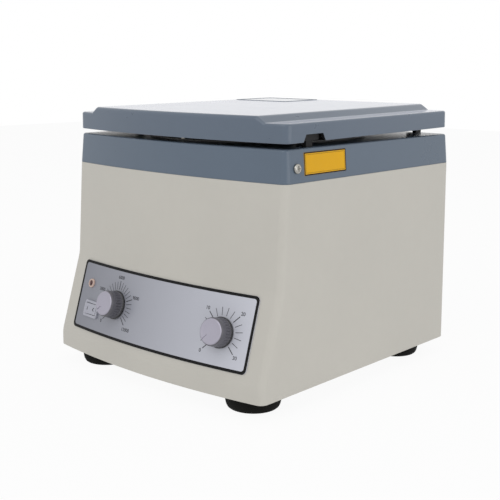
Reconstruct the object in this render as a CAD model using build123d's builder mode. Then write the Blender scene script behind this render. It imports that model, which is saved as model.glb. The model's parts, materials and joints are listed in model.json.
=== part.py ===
from build123d import *
import os
from math import atan2, cos, hypot, sin, sqrt, tan

# Bench hematocrit centrifuge. X runs across the front, Y from front to back, Z up, in millimetres.
# The origin is on the bench, under the middle of the outer box.

# Cabinet
body_width = 260.0
body_depth = 248.6
cabinet_corner = 7.5
front_bow = 11.5
cabinet_wall = 1.5
lip_rise = 14.0
panel_rise = 72.8
upper_rise = 87.9
panel_run = 21.8
upper_lean = 4.5
ledge_width = 14.0
ledge_thickness = 1.5
rim_height = 16.0
rim_thickness = 1.5
fit_gap = 0.3

# Feet and floor plate
foot_height = 15.0
foot_radius = 23.8
foot_edge = 3.0
foot_shoulder = 3.0
foot_side_inset = 36.0
foot_front_inset = 29.0
foot_rear_inset = 36.0
floor_thickness = 2.0
floor_screw_inset = 7.0
floor_screw_rows = (-60.0, 40.0)
rear_floor_screw = 50.0
floor_vent_x = 30.0
floor_vent_y = -92.0
foot_web = 4.0

# Deck
deck_rise = 27.7
deck_wall = 2.5
deck_corner = 7.5
deck_inset = 2.1
deck_edge = 2.0
band_screw_y = 13.8
band_screw_z = 11.9
rear_band_screw_inset = 40.0
label_width = 56.0
label_height = 19.0
label_thickness = 0.3
label_y = 51.4
label_z = 14.8

# Chamber
rotor_back = -12.4
bowl_radius = 90.0
bowl_depth = 42.0
bowl_wall = 1.2
bowl_corner = 9.0
flange_width = 10.8
flange_screw_margin = 4.0
flange_screw_count = 6
boot_hole_radius = 16.0
boot_lip = 2.5
boot_bore_radius = 5.0

# Lid
lid_side_gap = 0.5
lid_setback = 1.5
lid_back_gap = 4.3
lid_height = 21.5
lid_wall = 3.0
lid_corner = 7.5
lid_edge = 3.0
shoulder_edge = 2.1
front_gap = 4.4
rear_gap = 6.9
shoulder_width = 29.5
shoulder_run = 8.0
shoulder_drop = 5.6
shoulder_skin = 3.0
liner_recess = 1.5
liner_thickness = 2.0
gasket_inset = 1.5
gasket_width = 5.5
boss_radius = 4.5
boss_side_inset = 37.5
boss_front_inset = 26.0
boss_rear_inset = 28.8
middle_boss_gap = 8.4
middle_boss_rear_inset = 18.8
boss_bore = 8.0
notch_y = 34.8
notch_top = 22.0
notch_bottom = 29.0
notch_height = 6.4
plate_width = 69.0
plate_depth = 55.0
plate_thickness = 0.4
plate_side = 32.5
plate_back = 3.5

# Hinge
hinge_side_inset = 33.4
hinge_rear_inset = 1.5
hinge_rise = 3.5
knuckle_radius = 2.5
pin_radius = 1.25
ear_width = 4.0
ear_reach = 6.5
ear_screw_back = 4.0
arm_over = 1.8
arm_width = 8.0
arm_thickness = 3.5
running_fit = 0.05

# Latch
latch_travel = 6.0
slider_length = 20.0
slider_width = 6.9
slider_height = 5.4
stem_width = 4.0
stem_inset = 1.2
stem_length = 8.0
hook_reach = 6.0
hook_thickness = 3.0
keeper_thickness = 1.5
keeper_margin = 5.0
tee_neck = 2.6
tee_head = 5.2
tee_rise = 1.6
tee_drop = 1.5
slider_lift = 0.8
slot_clear = 1.0
hook_drop = 0.5

# Lid switch
lid_switch_side_inset = 26.0
lid_switch_front_inset = 55.0
plunger_radius = 2.0
plunger_rise = 2.0
plunger_depth = 8.0
plunger_travel = 2.5
switch_box_width = 20.0
switch_box_depth = 10.0
switch_box_height = 16.0
striker_radius = 4.0

# Rotor and its cover
rotor_side_gap = 4.0
rotor_floor_gap = 11.6
rotor_thickness = 4.0
rim_wall = 1.5
rim_rise = 4.0
rim_seal = 1.7
slot_count = 24
slot_start = 8.8
slot_width = 2.0
slot_depth = 2.0
seal_drop = 0.5
hub_taper = 20.0
boss_taper = 25.0
boss_foot = 4.0
hub_radius = 20.0
hub_height = 6.0
spigot_radius = 7.0
cover_thickness = 1.6
cover_boss_radius = 13.0
cover_boss_height = 7.5
nut_radius = 13.0
nut_height = 12.5
nut_grip_count = 18
nut_grip_radius = 1.4
stud_engagement = 9.0
shaft_radius = 4.0

# Motor and its rubber mounting
motor_radius = 40.0
motor_wall = 2.0
motor_height = 80.0
motor_cap = 4.0
motor_drop = 52.4
bearing_radius = 11.0
bearing_width = 7.0
bearing_seat = 2.0
bolt_circle_radius = 28.0
motor_play = 1.0
mount_plate_radius = 62.0
mount_plate_thickness = 3.0
mount_circle_radius = 52.0
mount_count = 3
damper_radius = 9.0
damper_height = 20.0
post_radius = 5.0
stator_bore = 24.0
stack_height = 34.0
stack_radius = 23.0
winding_radius = 18.0
winding_height = 8.0
commutator_radius = 12.0
commutator_height = 6.0
brush_side = 5.0
brush_length = 18.0
holder_side = 9.0
holder_reach = 48.0
holder_gap = 2.0

# Control panel
panel_left_margin = 22.2
panel_right_margin = 17.9
panel_height = 64.0
panel_corner = 4.0
panel_thickness = 1.0
seat_gap = 0.1
panel_middle_drop = 34.2
speed_inset = 60.3
speed_drop = 35.3
timer_inset = 30.9
timer_drop = 36.4
knob_radius = 13.0
knob_grip_radius = 12.2
knob_cap_radius = 10.8
knob_skirt = 1.6
knob_top = 15.0
knob_cap_thickness = 1.2
knob_lift = 0.6
knob_wall = 3.0
knob_taper = 3.0
pointer_width = 1.0
pointer_depth = 0.4
pointer_angle = 225.0
flute_count = 30
flute_radius = 0.55
spindle_radius = 3.0
bushing_radius = 3.5
bushing_reach = 6.0
nut_flat_radius = 5.5
panel_nut_height = 2.2
pot_radius = 12.0
pot_depth = 11.0
timer_side = 44.0
timer_depth = 34.0
timer_washer = 0.4
rocker_inset = 25.8
rocker_drop = 45.3
rocker_frame_width = 21.0
rocker_frame_height = 15.0
rocker_body_width = 19.0
rocker_body_height = 13.0
rocker_body_depth = 18.0
rocker_frame_thickness = 1.6
rocker_well_width = 17.2
rocker_well_height = 10.6
rocker_half = 7.6
rocker_edge = 0.5
rocker_peak = 4.2
rocker_dip = 3.2
rocker_root = 3.0
rocker_well_depth = 7.6
rocker_tilt = 10.0
rocker_side_gap = 0.3
trunnion_radius = 1.2
trunnion_reach = 0.5
lamp_inset = 17.4
lamp_drop = 23.2
lamp_radius = 4.2
lamp_bore = 2.6
lamp_rise = 1.8
lamp_tail = 9.0
lamp_sleeve = 0.5
lens_dip = 0.2

# Power inlet and electronics
inlet_side_inset = 68.0
inlet_rise = 48.0
inlet_proud = 3.0
inlet_width = 50.0
inlet_height = 36.0
inlet_body_width = 30.0
inlet_body_height = 31.0
inlet_body_depth = 24.0
socket_width = 24.6
socket_height = 16.4
socket_depth = 17.0
socket_rise = 5.0
pin_spacing = 14.0
pin_blade_width = 2.0
pin_blade_height = 4.0
pin_blade_length = 15.0
earth_lift = 2.0
drawer_width = 22.0
drawer_height = 7.0
drawer_depth = 20.0
drawer_drop = 11.0
drawer_notch = 1.6
inlet_screw_spacing = 40.0
board_width = 84.0
board_depth = 50.0
board_thickness = 1.6
board_rise = 8.0
capacitor_radius = 7.0
capacitor_height = 14.0
sink_width = 28.0
sink_height = 20.0
sink_depth = 12.0
sink_fins = 6
transformer_width = 22.0
transformer_depth = 9.0
board_side_inset = 78.0
board_front = 38.0
standoff_radius = 3.0
standoff_inset = 5.0
vent_count = 9
vent_width = 3.0
vent_length = 40.0
vent_pitch = 8.0
vent_side_inset = 80.0
vent_rise = 72.0

# Screws
screw_radius = 2.0
screw_head = 4.1
screw_head_height = 2.4
band_screw_length = 6.5
small_screw_radius = 1.5
small_head = 2.75
small_head_height = 1.6

# Heights that follow
shell_bottom = foot_height
lip_top = shell_bottom + lip_rise
knee = lip_top + panel_rise
seam = knee + upper_rise
deck_z = seam + deck_rise
floor_top = shell_bottom + floor_thickness
chamber_floor = deck_z + bowl_wall - bowl_depth
rotor_bottom = chamber_floor + rotor_floor_gap
rotor_top = rotor_bottom + rotor_thickness
motor_top = chamber_floor - motor_drop
motor_bottom = motor_top - motor_height

# Widths and places across that follow from the cabinet's width
body_half = body_width / 2
panel_width = body_width - panel_left_margin - panel_right_margin
panel_middle = (panel_left_margin - panel_right_margin) / 2
panel_left = panel_middle - panel_width / 2
panel_right = panel_middle + panel_width / 2
lamp_x = panel_left + lamp_inset
rocker_x = panel_left + rocker_inset
speed_x = panel_left + speed_inset
timer_x = panel_right - timer_inset
inlet_x = inlet_side_inset - body_half
vent_x = body_half - vent_side_inset
board_x = board_side_inset - body_half
rear_band_x = body_half - rear_band_screw_inset
hinge_side = body_half - hinge_side_inset
lid_half = body_half - lid_side_gap
lid_depth = body_depth - lid_setback - lid_back_gap

# Radii that follow from the bowl's
bowl_outer = bowl_radius + bowl_wall
flange_radius = bowl_outer + flange_width
flange_screw_radius = flange_radius - flange_screw_margin
gasket_inner = bowl_radius - gasket_inset
gasket_outer = gasket_inner + gasket_width
rotor_radius = bowl_radius - rotor_side_gap

# Places in plan that follow. The outer box runs from the lip or the speed knob's face, whichever
# stands further forward, to the screw heads on the inlet.
bow_radius = (body_half**2 + front_bow**2) / (2 * front_bow)
panel_slope = atan2(panel_run, panel_rise)
full_forward = upper_lean + panel_run
speed_forward = upper_lean + panel_run * speed_drop / panel_rise
speed_bow = front_bow - bow_radius + sqrt(bow_radius**2 - speed_x**2)
knob_face = knob_top + knob_cap_thickness / 2
knob_reach = speed_bow + speed_forward + knob_face * cos(panel_slope) + knob_cap_radius * sin(panel_slope)
front_reach = max(front_bow + full_forward, knob_reach)
middle_y = (front_reach - inlet_proud - small_head_height) / 2
front_y = middle_y - body_depth / 2
rear_y = middle_y + body_depth / 2
rotor_y = middle_y + rotor_back


def plan(half, corner_y, back_y, corner_radius, inset=0.0, forward=0.0):
    """Plan outline with straight sides and back, a bowed front and rounded upright corners."""
    radius = bow_radius - inset
    centre_y = corner_y + sqrt(bow_radius**2 - half**2) - forward
    side = half - inset
    corner = centre_y - sqrt(radius**2 - side**2)
    with BuildSketch() as outline:
        with BuildLine():
            ThreePointArc((-side, corner), (0, centre_y - radius), (side, corner))
            Polyline((side, corner), (side, back_y - inset), (-side, back_y - inset), (-side, corner))
        make_face()
        fillet(outline.vertices(), max(corner_radius - inset, 1.0))
    return outline.sketch


def cabinet_plan(inset=0.0, forward=0.0):
    """Cabinet outline, whose front may stand further forward than at the deck."""
    return plan(body_half, front_y, rear_y, cabinet_corner, inset, forward)


def deck_plan(inset=0.0):
    """Deck outline, which is the cabinet's with softer corners."""
    return plan(body_half, front_y, rear_y, deck_corner, inset)


def cabinet_form(inset):
    """The cabinet's outer form, or the space inside a wall of the given thickness."""
    with BuildPart() as form:
        levels = ((shell_bottom, full_forward), (lip_top, full_forward), (knee, upper_lean), (seam, 0.0))
        for level, forward in levels:
            with BuildSketch(Plane.XY.offset(level)):
                add(cabinet_plan(inset, forward))
        loft(ruled=True)
    return form.part


def panel_point(x, drop):
    """Plane on the slanted front, at a distance below the knee, with its normal outwards."""
    reach = sqrt(bow_radius**2 - x**2)
    forward = upper_lean + panel_run * drop / panel_rise
    y = front_y - front_bow + bow_radius - reach - forward
    normal = (x / reach, -1, panel_run / panel_rise)
    return Plane(origin=(x, y, knee - drop), x_dir=(1, x / reach, 0), z_dir=normal)


def band_point(side, y, rise):
    """Plane on the deck's drafted side band, with its normal outwards and its X towards the back."""
    x = side * (body_half - deck_inset * rise / deck_rise)
    return Plane(origin=(x, y, seam + rise), x_dir=(0, side, 0), z_dir=(side * deck_rise, 0, deck_inset))


def pan_screw(head_radius, head_height, shank_radius, length):
    """Pan-head screw with a cross recess, its head above the XY plane and its shank below."""
    with BuildPart() as screw:
        with BuildSketch():
            Circle(head_radius)
        extrude(amount=head_height)
        fillet(screw.faces().sort_by(Axis.Z)[-1].edges(), head_height * 0.6)
        with BuildSketch(Plane.XY.offset(head_height)):
            Rectangle(head_radius * 1.1, head_radius * 0.24)
            Rectangle(head_radius * 0.24, head_radius * 1.1)
        extrude(amount=-head_height * 0.6, mode=Mode.SUBTRACT)
        with BuildSketch():
            Circle(shank_radius)
        extrude(amount=-length)
    return screw.part


def save(builder, name):
    """Label a finished piece and write it under its name."""
    builder.part.label = name
    export_step(builder.part, f"parts/{name}.step")


# Places of the controls on the slanted front
speed_place = panel_point(speed_x, speed_drop)
timer_place = panel_point(timer_x, timer_drop)
rocker_place = panel_point(rocker_x, rocker_drop)
lamp_place = panel_point(lamp_x, lamp_drop)
control_hole = bushing_radius + 0.2

# Places of the feet, the floor screws and the band screws
feet_front = front_y - full_forward + foot_front_inset
feet_rear = rear_y - foot_rear_inset
foot_x = body_half - foot_side_inset
foot_places = [(x, y) for x in (-foot_x, foot_x) for y in (feet_front, feet_rear)]
ledge_x = body_half - cabinet_wall - floor_screw_inset
ledge_rear = rear_y - cabinet_wall - floor_screw_inset
floor_screw_places = [(x, middle_y + y) for x in (-ledge_x, ledge_x) for y in floor_screw_rows]
floor_screw_places += [(x, ledge_rear) for x in (-rear_floor_screw, rear_floor_screw)]
band_screw_places = [
    band_point(side, front_y + band_screw_y, band_screw_z) for side in (-1, 1)
]
rear_band_drop = deck_inset * band_screw_z / deck_rise
band_screw_places += [
    Plane(
        origin=(x, rear_y - rear_band_drop, seam + band_screw_z),
        x_dir=(-1, 0, 0),
        z_dir=(0, deck_rise, deck_inset),
    )
    for x in (-rear_band_x, rear_band_x)
]

# Cabinet shell, open at the top and the bottom
rim_inset = deck_wall + deck_inset * rim_height / deck_rise + fit_gap
with BuildPart() as cabinet_shell:
    add(cabinet_form(0.0))
    add(cabinet_form(cabinet_wall), mode=Mode.SUBTRACT)
    with BuildSketch(Plane.XY.offset(floor_top)):
        add(cabinet_plan(cabinet_wall / 2, full_forward))
        add(cabinet_plan(cabinet_wall + ledge_width, full_forward), mode=Mode.SUBTRACT)
    extrude(amount=ledge_thickness)
    with BuildSketch(Plane.XY.offset(seam)):
        add(cabinet_plan(cabinet_wall / 2))
        add(cabinet_plan(rim_inset + rim_thickness), mode=Mode.SUBTRACT)
    extrude(amount=-rim_thickness * 2)
    with BuildSketch(Plane.XY.offset(seam)):
        add(cabinet_plan(rim_inset))
        add(cabinet_plan(rim_inset + rim_thickness), mode=Mode.SUBTRACT)
    extrude(amount=rim_height)
    for place in (speed_place, timer_place):
        with BuildSketch(place.offset(cabinet_wall)):
            Circle(control_hole)
        extrude(amount=-cabinet_wall * 3, mode=Mode.SUBTRACT)
    with BuildSketch(rocker_place.offset(cabinet_wall)):
        Rectangle(rocker_body_width, rocker_body_height)
    extrude(amount=-cabinet_wall * 3, mode=Mode.SUBTRACT)
    with BuildSketch(lamp_place.offset(cabinet_wall)):
        Circle(lamp_bore + lamp_sleeve + seat_gap)
    extrude(amount=-cabinet_wall * 3, mode=Mode.SUBTRACT)
    inlet_plane = Plane(origin=(inlet_x, rear_y, shell_bottom + inlet_rise), x_dir=(-1, 0, 0), z_dir=(0, 1, 0))
    with BuildSketch(inlet_plane.offset(cabinet_wall)):
        Rectangle(inlet_body_width, inlet_body_height)
        with GridLocations(inlet_screw_spacing, 0, 2, 1):
            Circle(small_screw_radius)
    extrude(amount=-cabinet_wall * 3, mode=Mode.SUBTRACT)
    vent_origin = (vent_x, rear_y + 1, shell_bottom + vent_rise)
    with BuildSketch(Plane(origin=vent_origin, x_dir=(-1, 0, 0), z_dir=(0, 1, 0))):
        with GridLocations(vent_pitch, 0, vent_count, 1):
            SlotOverall(vent_length, vent_width, rotation=90)
    extrude(amount=-cabinet_wall * 2, mode=Mode.SUBTRACT)
    with BuildSketch(Plane.XY.offset(floor_top)):
        with Locations(*floor_screw_places):
            Circle(small_screw_radius)
    extrude(amount=ledge_thickness, mode=Mode.SUBTRACT)
    for place in band_screw_places:
        with BuildSketch(place):
            Circle(screw_radius)
        extrude(amount=-deck_wall * 4, mode=Mode.SUBTRACT)
save(cabinet_shell, "cabinet_shell")

# Floor plate under the ledge, with a field of cooling slots
with BuildPart() as floor_plate:
    with BuildSketch(Plane.XY.offset(shell_bottom)):
        add(cabinet_plan(cabinet_wall + fit_gap, full_forward))
        with Locations(*floor_screw_places, *foot_places):
            Circle(small_screw_radius, mode=Mode.SUBTRACT)
        with Locations((floor_vent_x, middle_y + floor_vent_y)):
            with GridLocations(vent_pitch, 0, vent_count, 1):
                SlotOverall(vent_length, vent_width, rotation=90, mode=Mode.SUBTRACT)
    extrude(amount=floor_thickness)
save(floor_plate, "floor_plate")

# Rubber feet, rounded above and below, each with a screw in a counterbore
with BuildPart() as rubber_feet:
    with BuildSketch():
        with Locations(*foot_places):
            Circle(foot_radius)
    extrude(amount=foot_height)
    fillet(rubber_feet.faces().filter_by(Plane.XY).group_by(Axis.Z)[0].edges(), foot_edge)
    fillet(rubber_feet.faces().filter_by(Plane.XY).group_by(Axis.Z)[-1].edges(), foot_shoulder)
    with BuildSketch():
        with Locations(*foot_places):
            Circle(small_head + 0.5)
    extrude(amount=foot_height - foot_web, mode=Mode.SUBTRACT)
    with BuildSketch():
        with Locations(*foot_places):
            Circle(small_screw_radius)
    extrude(amount=foot_height, mode=Mode.SUBTRACT)
save(rubber_feet, "rubber_feet")

# Screws that hold the floor plate to the ledge and the feet to the floor plate, driven from below
with BuildPart() as base_screws:
    with Locations(*[Plane(origin=(x, y, shell_bottom), z_dir=(0, 0, -1)) for x, y in floor_screw_places]):
        add(pan_screw(small_head, small_head_height, small_screw_radius, floor_thickness + ledge_thickness))
    with Locations(*[Plane(origin=(x, y, foot_height - foot_web), z_dir=(0, 0, -1)) for x, y in foot_places]):
        add(pan_screw(small_head, small_head_height, small_screw_radius, foot_web + floor_thickness))
save(base_screws, "base_screws")

# Deck, a drafted cap with the chamber opening
slider_x = lid_half - lid_wall - fit_gap - slider_width / 2
stem_x = slider_x - stem_inset
lid_front_y = front_y + lid_setback
lid_tilt = atan2(rear_gap - front_gap, lid_depth)
stem_y = lid_front_y + notch_y
plunger_place = (lid_switch_side_inset - body_half, front_y + lid_switch_front_inset)
flange_screw_places = PolarLocations(flange_screw_radius, flange_screw_count, start_angle=30).local_locations
hinge_y = lid_front_y + lid_depth - hinge_rear_inset
hinge_z = deck_z + hinge_rise
ear_places = [(side * hinge_side, hinge_y - ear_screw_back) for side in (-1, 1)]
with BuildPart() as deck_top:
    with BuildSketch(Plane.XY.offset(seam)):
        add(deck_plan())
    with BuildSketch(Plane.XY.offset(deck_z)):
        add(deck_plan(deck_inset))
    loft(ruled=True)
    fillet(deck_top.faces().sort_by(Axis.Z)[-1].edges(), deck_edge)
    with BuildSketch(Plane.XY.offset(seam)):
        add(deck_plan(deck_wall))
    with BuildSketch(Plane.XY.offset(deck_z - deck_wall)):
        add(deck_plan(deck_wall + deck_inset))
    loft(ruled=True, mode=Mode.SUBTRACT)
    with BuildSketch(Plane.XY.offset(deck_z)):
        with Locations((0, rotor_y)):
            Circle(bowl_outer + fit_gap)
            with Locations(*flange_screw_places):
                Circle(small_screw_radius)
        with Locations(plunger_place):
            Circle(plunger_radius + running_fit)
        with Locations(*ear_places):
            Circle(pin_radius)
        slot_front = stem_y - stem_length / 2 - hook_reach - slot_clear
        slot_back = stem_y + stem_length / 2 + slot_clear
        with Locations((stem_x, (slot_front + slot_back) / 2)):
            Rectangle(stem_width + 2 * slot_clear, slot_back - slot_front)
    extrude(amount=-deck_wall, mode=Mode.SUBTRACT)
    for place in band_screw_places:
        with BuildSketch(place.offset(1)):
            Circle(screw_radius)
        extrude(amount=-deck_wall * 2, mode=Mode.SUBTRACT)
save(deck_top, "deck_top")

with BuildPart() as deck_screws:
    with Locations(*band_screw_places):
        add(pan_screw(screw_head, screw_head_height, screw_radius, band_screw_length))
save(deck_screws, "deck_screws")

with BuildPart() as side_plate:
    plate_point = band_point(1, front_y + label_y, label_z)
    with BuildSketch(plate_point):
        RectangleRounded(label_width, label_height, 0.6)
    extrude(amount=label_thickness)
save(side_plate, "side_plate")

# Chamber bowl, spun with a flat flange that lies on the deck
bowl_section = Plane(origin=(0, rotor_y, 0), x_dir=(1, 0, 0), z_dir=(0, -1, 0))
with BuildPart() as chamber_bowl:
    with BuildSketch(bowl_section) as section:
        with BuildLine():
            Polyline(
                (boot_hole_radius, chamber_floor),
                (bowl_radius, chamber_floor),
                (bowl_radius, deck_z + bowl_wall),
                (flange_radius, deck_z + bowl_wall),
                (flange_radius, deck_z),
                (bowl_outer, deck_z),
                (bowl_outer, chamber_floor - bowl_wall),
                (boot_hole_radius, chamber_floor - bowl_wall),
                close=True,
            )
        make_face()
        fillet(section.vertices().sort_by_distance((bowl_radius, chamber_floor, 0))[0], bowl_corner)
        outer_corner = section.vertices().sort_by_distance((bowl_outer, chamber_floor - bowl_wall, 0))[0]
        fillet(outer_corner, bowl_corner + bowl_wall)
    revolve(axis=Axis((0, rotor_y, 0), (0, 0, 1)))
    with BuildSketch(Plane.XY.offset(deck_z)):
        with Locations((0, rotor_y)):
            with Locations(*flange_screw_places):
                Circle(small_screw_radius)
    extrude(amount=bowl_wall, mode=Mode.SUBTRACT)
save(chamber_bowl, "chamber_bowl")

# Screws through the flange from above and into the hinge ears from below
with BuildPart() as deck_fasteners:
    with Locations(Plane(origin=(0, rotor_y, deck_z + bowl_wall))):
        with Locations(*flange_screw_places):
            add(pan_screw(small_head, small_head_height, small_screw_radius, bowl_wall + deck_wall + 1))
    with Locations(*[Plane(origin=(x, y, deck_z - deck_wall), z_dir=(0, 0, -1)) for x, y in ear_places]):
        add(pan_screw(small_head, small_head_height, pin_radius, deck_wall + hinge_rise - 0.5))
save(deck_fasteners, "deck_fasteners")

# Rubber boot where the motor shaft enters the chamber
with BuildPart() as shaft_boot:
    boot_low = chamber_floor - bowl_wall - boot_lip
    with BuildSketch(Plane.XY.offset(boot_low)):
        with Locations((0, rotor_y)):
            Circle(boot_hole_radius + boot_lip)
            Circle(boot_bore_radius, mode=Mode.SUBTRACT)
    extrude(amount=bowl_wall + 2 * boot_lip)
    with BuildSketch(Plane.XY.offset(chamber_floor - bowl_wall)):
        with Locations((0, rotor_y)):
            Circle(boot_hole_radius + 2 * boot_lip)
            Circle(boot_hole_radius, mode=Mode.SUBTRACT)
    extrude(amount=bowl_wall, mode=Mode.SUBTRACT)
save(shaft_boot, "shaft_boot")

# Motor mounting: three posts on the floor, rubber dampers and a steel plate
mount_angles = PolarLocations(mount_circle_radius, mount_count, start_angle=90).local_locations
post_top = motor_top - damper_height
with BuildPart() as mount_posts:
    with BuildSketch(Plane.XY.offset(floor_top)):
        with Locations((0, rotor_y)):
            with Locations(*mount_angles):
                Circle(post_radius)
    extrude(amount=post_top - floor_top)
save(mount_posts, "mount_posts")

with BuildPart() as rubber_dampers:
    with BuildSketch(Plane.XY.offset(post_top)):
        with Locations((0, rotor_y)):
            with Locations(*mount_angles):
                Circle(damper_radius)
    extrude(amount=damper_height)
    groove_height = damper_height / 3
    with BuildSketch(Plane.XY.offset(post_top + groove_height)):
        with Locations((0, rotor_y)):
            with Locations(*mount_angles):
                Circle(damper_radius)
                Circle(damper_radius * 0.75, mode=Mode.SUBTRACT)
    extrude(amount=groove_height, mode=Mode.SUBTRACT)
save(rubber_dampers, "rubber_dampers")

bolt_places = PolarLocations(bolt_circle_radius, 4, start_angle=45).local_locations
with BuildPart() as motor_plate:
    with BuildSketch(Plane.XY.offset(motor_top)):
        with Locations((0, rotor_y)):
            Circle(mount_plate_radius)
            Circle(bearing_radius, mode=Mode.SUBTRACT)
            with Locations(*bolt_places):
                Circle(screw_radius, mode=Mode.SUBTRACT)
    extrude(amount=mount_plate_thickness)
save(motor_plate, "motor_plate")

with BuildPart() as motor_bolts:
    with Locations(Plane(origin=(0, rotor_y, motor_top + mount_plate_thickness))):
        with Locations(*bolt_places):
            add(pan_screw(screw_head, screw_head_height, screw_radius, mount_plate_thickness + motor_cap))
save(motor_bolts, "motor_bolts")

# Motor can, its upper cap, the bearings, the field stack and the brushes
motor_inner = motor_radius - motor_wall
cap_bottom = motor_top - motor_cap
low_bearing = motor_bottom + motor_wall
high_bearing = cap_bottom - bearing_width
brush_z = low_bearing + bearing_width + motor_play + commutator_height / 2
winding_bottom = brush_z + holder_side / 2 + motor_play
stack_bottom = winding_bottom + winding_height
with BuildPart() as motor_housing:
    with BuildSketch(Plane.XY.offset(motor_bottom)):
        with Locations((0, rotor_y)):
            Circle(motor_radius)
    extrude(amount=cap_bottom - motor_bottom)
    with BuildSketch(Plane.XY.offset(low_bearing)):
        with Locations((0, rotor_y)):
            Circle(motor_inner)
    extrude(amount=motor_height, mode=Mode.SUBTRACT)
    with BuildSketch(Plane.XY.offset(low_bearing)):
        with Locations((0, rotor_y)):
            Circle(bearing_radius + bearing_seat)
            Circle(bearing_radius, mode=Mode.SUBTRACT)
    extrude(amount=bearing_width)
    with BuildSketch(Plane(origin=(0, rotor_y, brush_z), x_dir=(0, 1, 0), z_dir=(1, 0, 0))):
        Rectangle(holder_side, holder_side)
    extrude(amount=motor_radius * 2, both=True, mode=Mode.SUBTRACT)
save(motor_housing, "motor_housing")

with BuildPart() as motor_end_cap:
    with BuildSketch(Plane.XY.offset(cap_bottom)):
        with Locations((0, rotor_y)):
            Circle(motor_radius)
            Circle(bearing_radius, mode=Mode.SUBTRACT)
            with Locations(*bolt_places):
                Circle(screw_radius, mode=Mode.SUBTRACT)
    extrude(amount=motor_cap)
    with BuildSketch(Plane.XY.offset(cap_bottom)):
        with Locations((0, rotor_y)):
            Circle(bearing_radius + bearing_seat)
            Circle(bearing_radius, mode=Mode.SUBTRACT)
    extrude(amount=-bearing_width)
save(motor_end_cap, "motor_end_cap")

with BuildPart() as motor_bearings:
    for level in (low_bearing, high_bearing):
        with BuildSketch(Plane.XY.offset(level)):
            with Locations((0, rotor_y)):
                Circle(bearing_radius)
                Circle(shaft_radius + running_fit, mode=Mode.SUBTRACT)
        extrude(amount=bearing_width)
save(motor_bearings, "motor_bearings")

with BuildPart() as field_stack:
    with BuildSketch(Plane.XY.offset(stack_bottom)):
        with Locations((0, rotor_y)):
            Circle(motor_inner)
            Circle(stator_bore, mode=Mode.SUBTRACT)
    extrude(amount=stack_height)
save(field_stack, "field_stack")

with BuildPart() as motor_brushes:
    for side in (-1, 1):
        outward = Plane(origin=(0, rotor_y, brush_z), x_dir=(0, 1, 0), z_dir=(side, 0, 0))
        with BuildSketch(outward.offset(commutator_radius + holder_gap)):
            Rectangle(holder_side, holder_side)
            Rectangle(brush_side, brush_side, mode=Mode.SUBTRACT)
        extrude(amount=holder_reach - commutator_radius - holder_gap)
        with BuildSketch(outward.offset(commutator_radius + fit_gap)):
            Rectangle(brush_side - 2 * running_fit, brush_side - 2 * running_fit)
        extrude(amount=brush_length)
save(motor_brushes, "motor_brushes")

# Rotating group: shaft, armature, hub, disc and rim seal
cover_bottom = rotor_top + fit_gap
nut_bottom = cover_bottom + cover_boss_height + fit_gap
shaft_top = nut_bottom + stud_engagement
with BuildPart() as motor_shaft:
    with BuildSketch(Plane.XY.offset(low_bearing)):
        with Locations((0, rotor_y)):
            Circle(shaft_radius)
    extrude(amount=shaft_top - low_bearing)
    chamfer(motor_shaft.faces().sort_by(Axis.Z)[-1].edges(), 0.6)
save(motor_shaft, "motor_shaft")

with BuildPart() as armature:
    with BuildSketch(Plane.XY.offset(brush_z - commutator_height / 2)):
        with Locations((0, rotor_y)):
            Circle(commutator_radius)
    extrude(amount=winding_bottom - brush_z + commutator_height / 2)
    with BuildSketch(Plane.XY.offset(winding_bottom)):
        with Locations((0, rotor_y)):
            Circle(winding_radius)
    extrude(amount=stack_height + 2 * winding_height)
    with BuildSketch(Plane.XY.offset(stack_bottom)):
        with Locations((0, rotor_y)):
            Circle(stack_radius)
    extrude(amount=stack_height)
    with BuildSketch(Plane.XY.offset(low_bearing)):
        with Locations((0, rotor_y)):
            Circle(shaft_radius)
    extrude(amount=motor_height, mode=Mode.SUBTRACT)
save(armature, "armature")

with BuildPart() as rotor_hub:
    with BuildSketch(Plane.XY.offset(rotor_bottom - hub_height)):
        with Locations((0, rotor_y)):
            Circle(hub_radius)
    extrude(amount=hub_height, taper=hub_taper)
    with BuildSketch(Plane.XY.offset(rotor_bottom)):
        with Locations((0, rotor_y)):
            Circle(spigot_radius)
    extrude(amount=rotor_thickness)
    with BuildSketch(Plane.XY.offset(rotor_bottom - hub_height)):
        with Locations((0, rotor_y)):
            Circle(shaft_radius)
    extrude(amount=hub_height + rotor_thickness, mode=Mode.SUBTRACT)
save(rotor_hub, "rotor_hub")

seal_outer = rotor_radius - rim_wall
seal_inner = seal_outer - rim_seal
slot_length = seal_inner - slot_start
with BuildPart() as rotor_disc:
    with BuildSketch(Plane.XY.offset(rotor_bottom)):
        with Locations((0, rotor_y)):
            Circle(rotor_radius)
    extrude(amount=rotor_thickness + rim_rise)
    with BuildSketch(Plane.XY.offset(rotor_top)):
        with Locations((0, rotor_y)):
            Circle(seal_outer)
    extrude(amount=rim_rise, mode=Mode.SUBTRACT)
    with BuildSketch(Plane.XY.offset(rotor_bottom)):
        with Locations((0, rotor_y)):
            Circle(spigot_radius)
    extrude(amount=rotor_thickness, mode=Mode.SUBTRACT)
    with BuildSketch(Plane.XY.offset(rotor_top)):
        with Locations((0, rotor_y)):
            with PolarLocations(seal_inner - slot_length / 2, slot_count):
                Rectangle(slot_length, slot_width)
    extrude(amount=-slot_depth, mode=Mode.SUBTRACT)
save(rotor_disc, "rotor_disc")

with BuildPart() as rotor_seal:
    with BuildSketch(Plane.XY.offset(rotor_top)):
        with Locations((0, rotor_y)):
            Circle(seal_outer)
            Circle(seal_inner, mode=Mode.SUBTRACT)
    extrude(amount=rim_rise - seal_drop)
save(rotor_seal, "rotor_seal")

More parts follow.
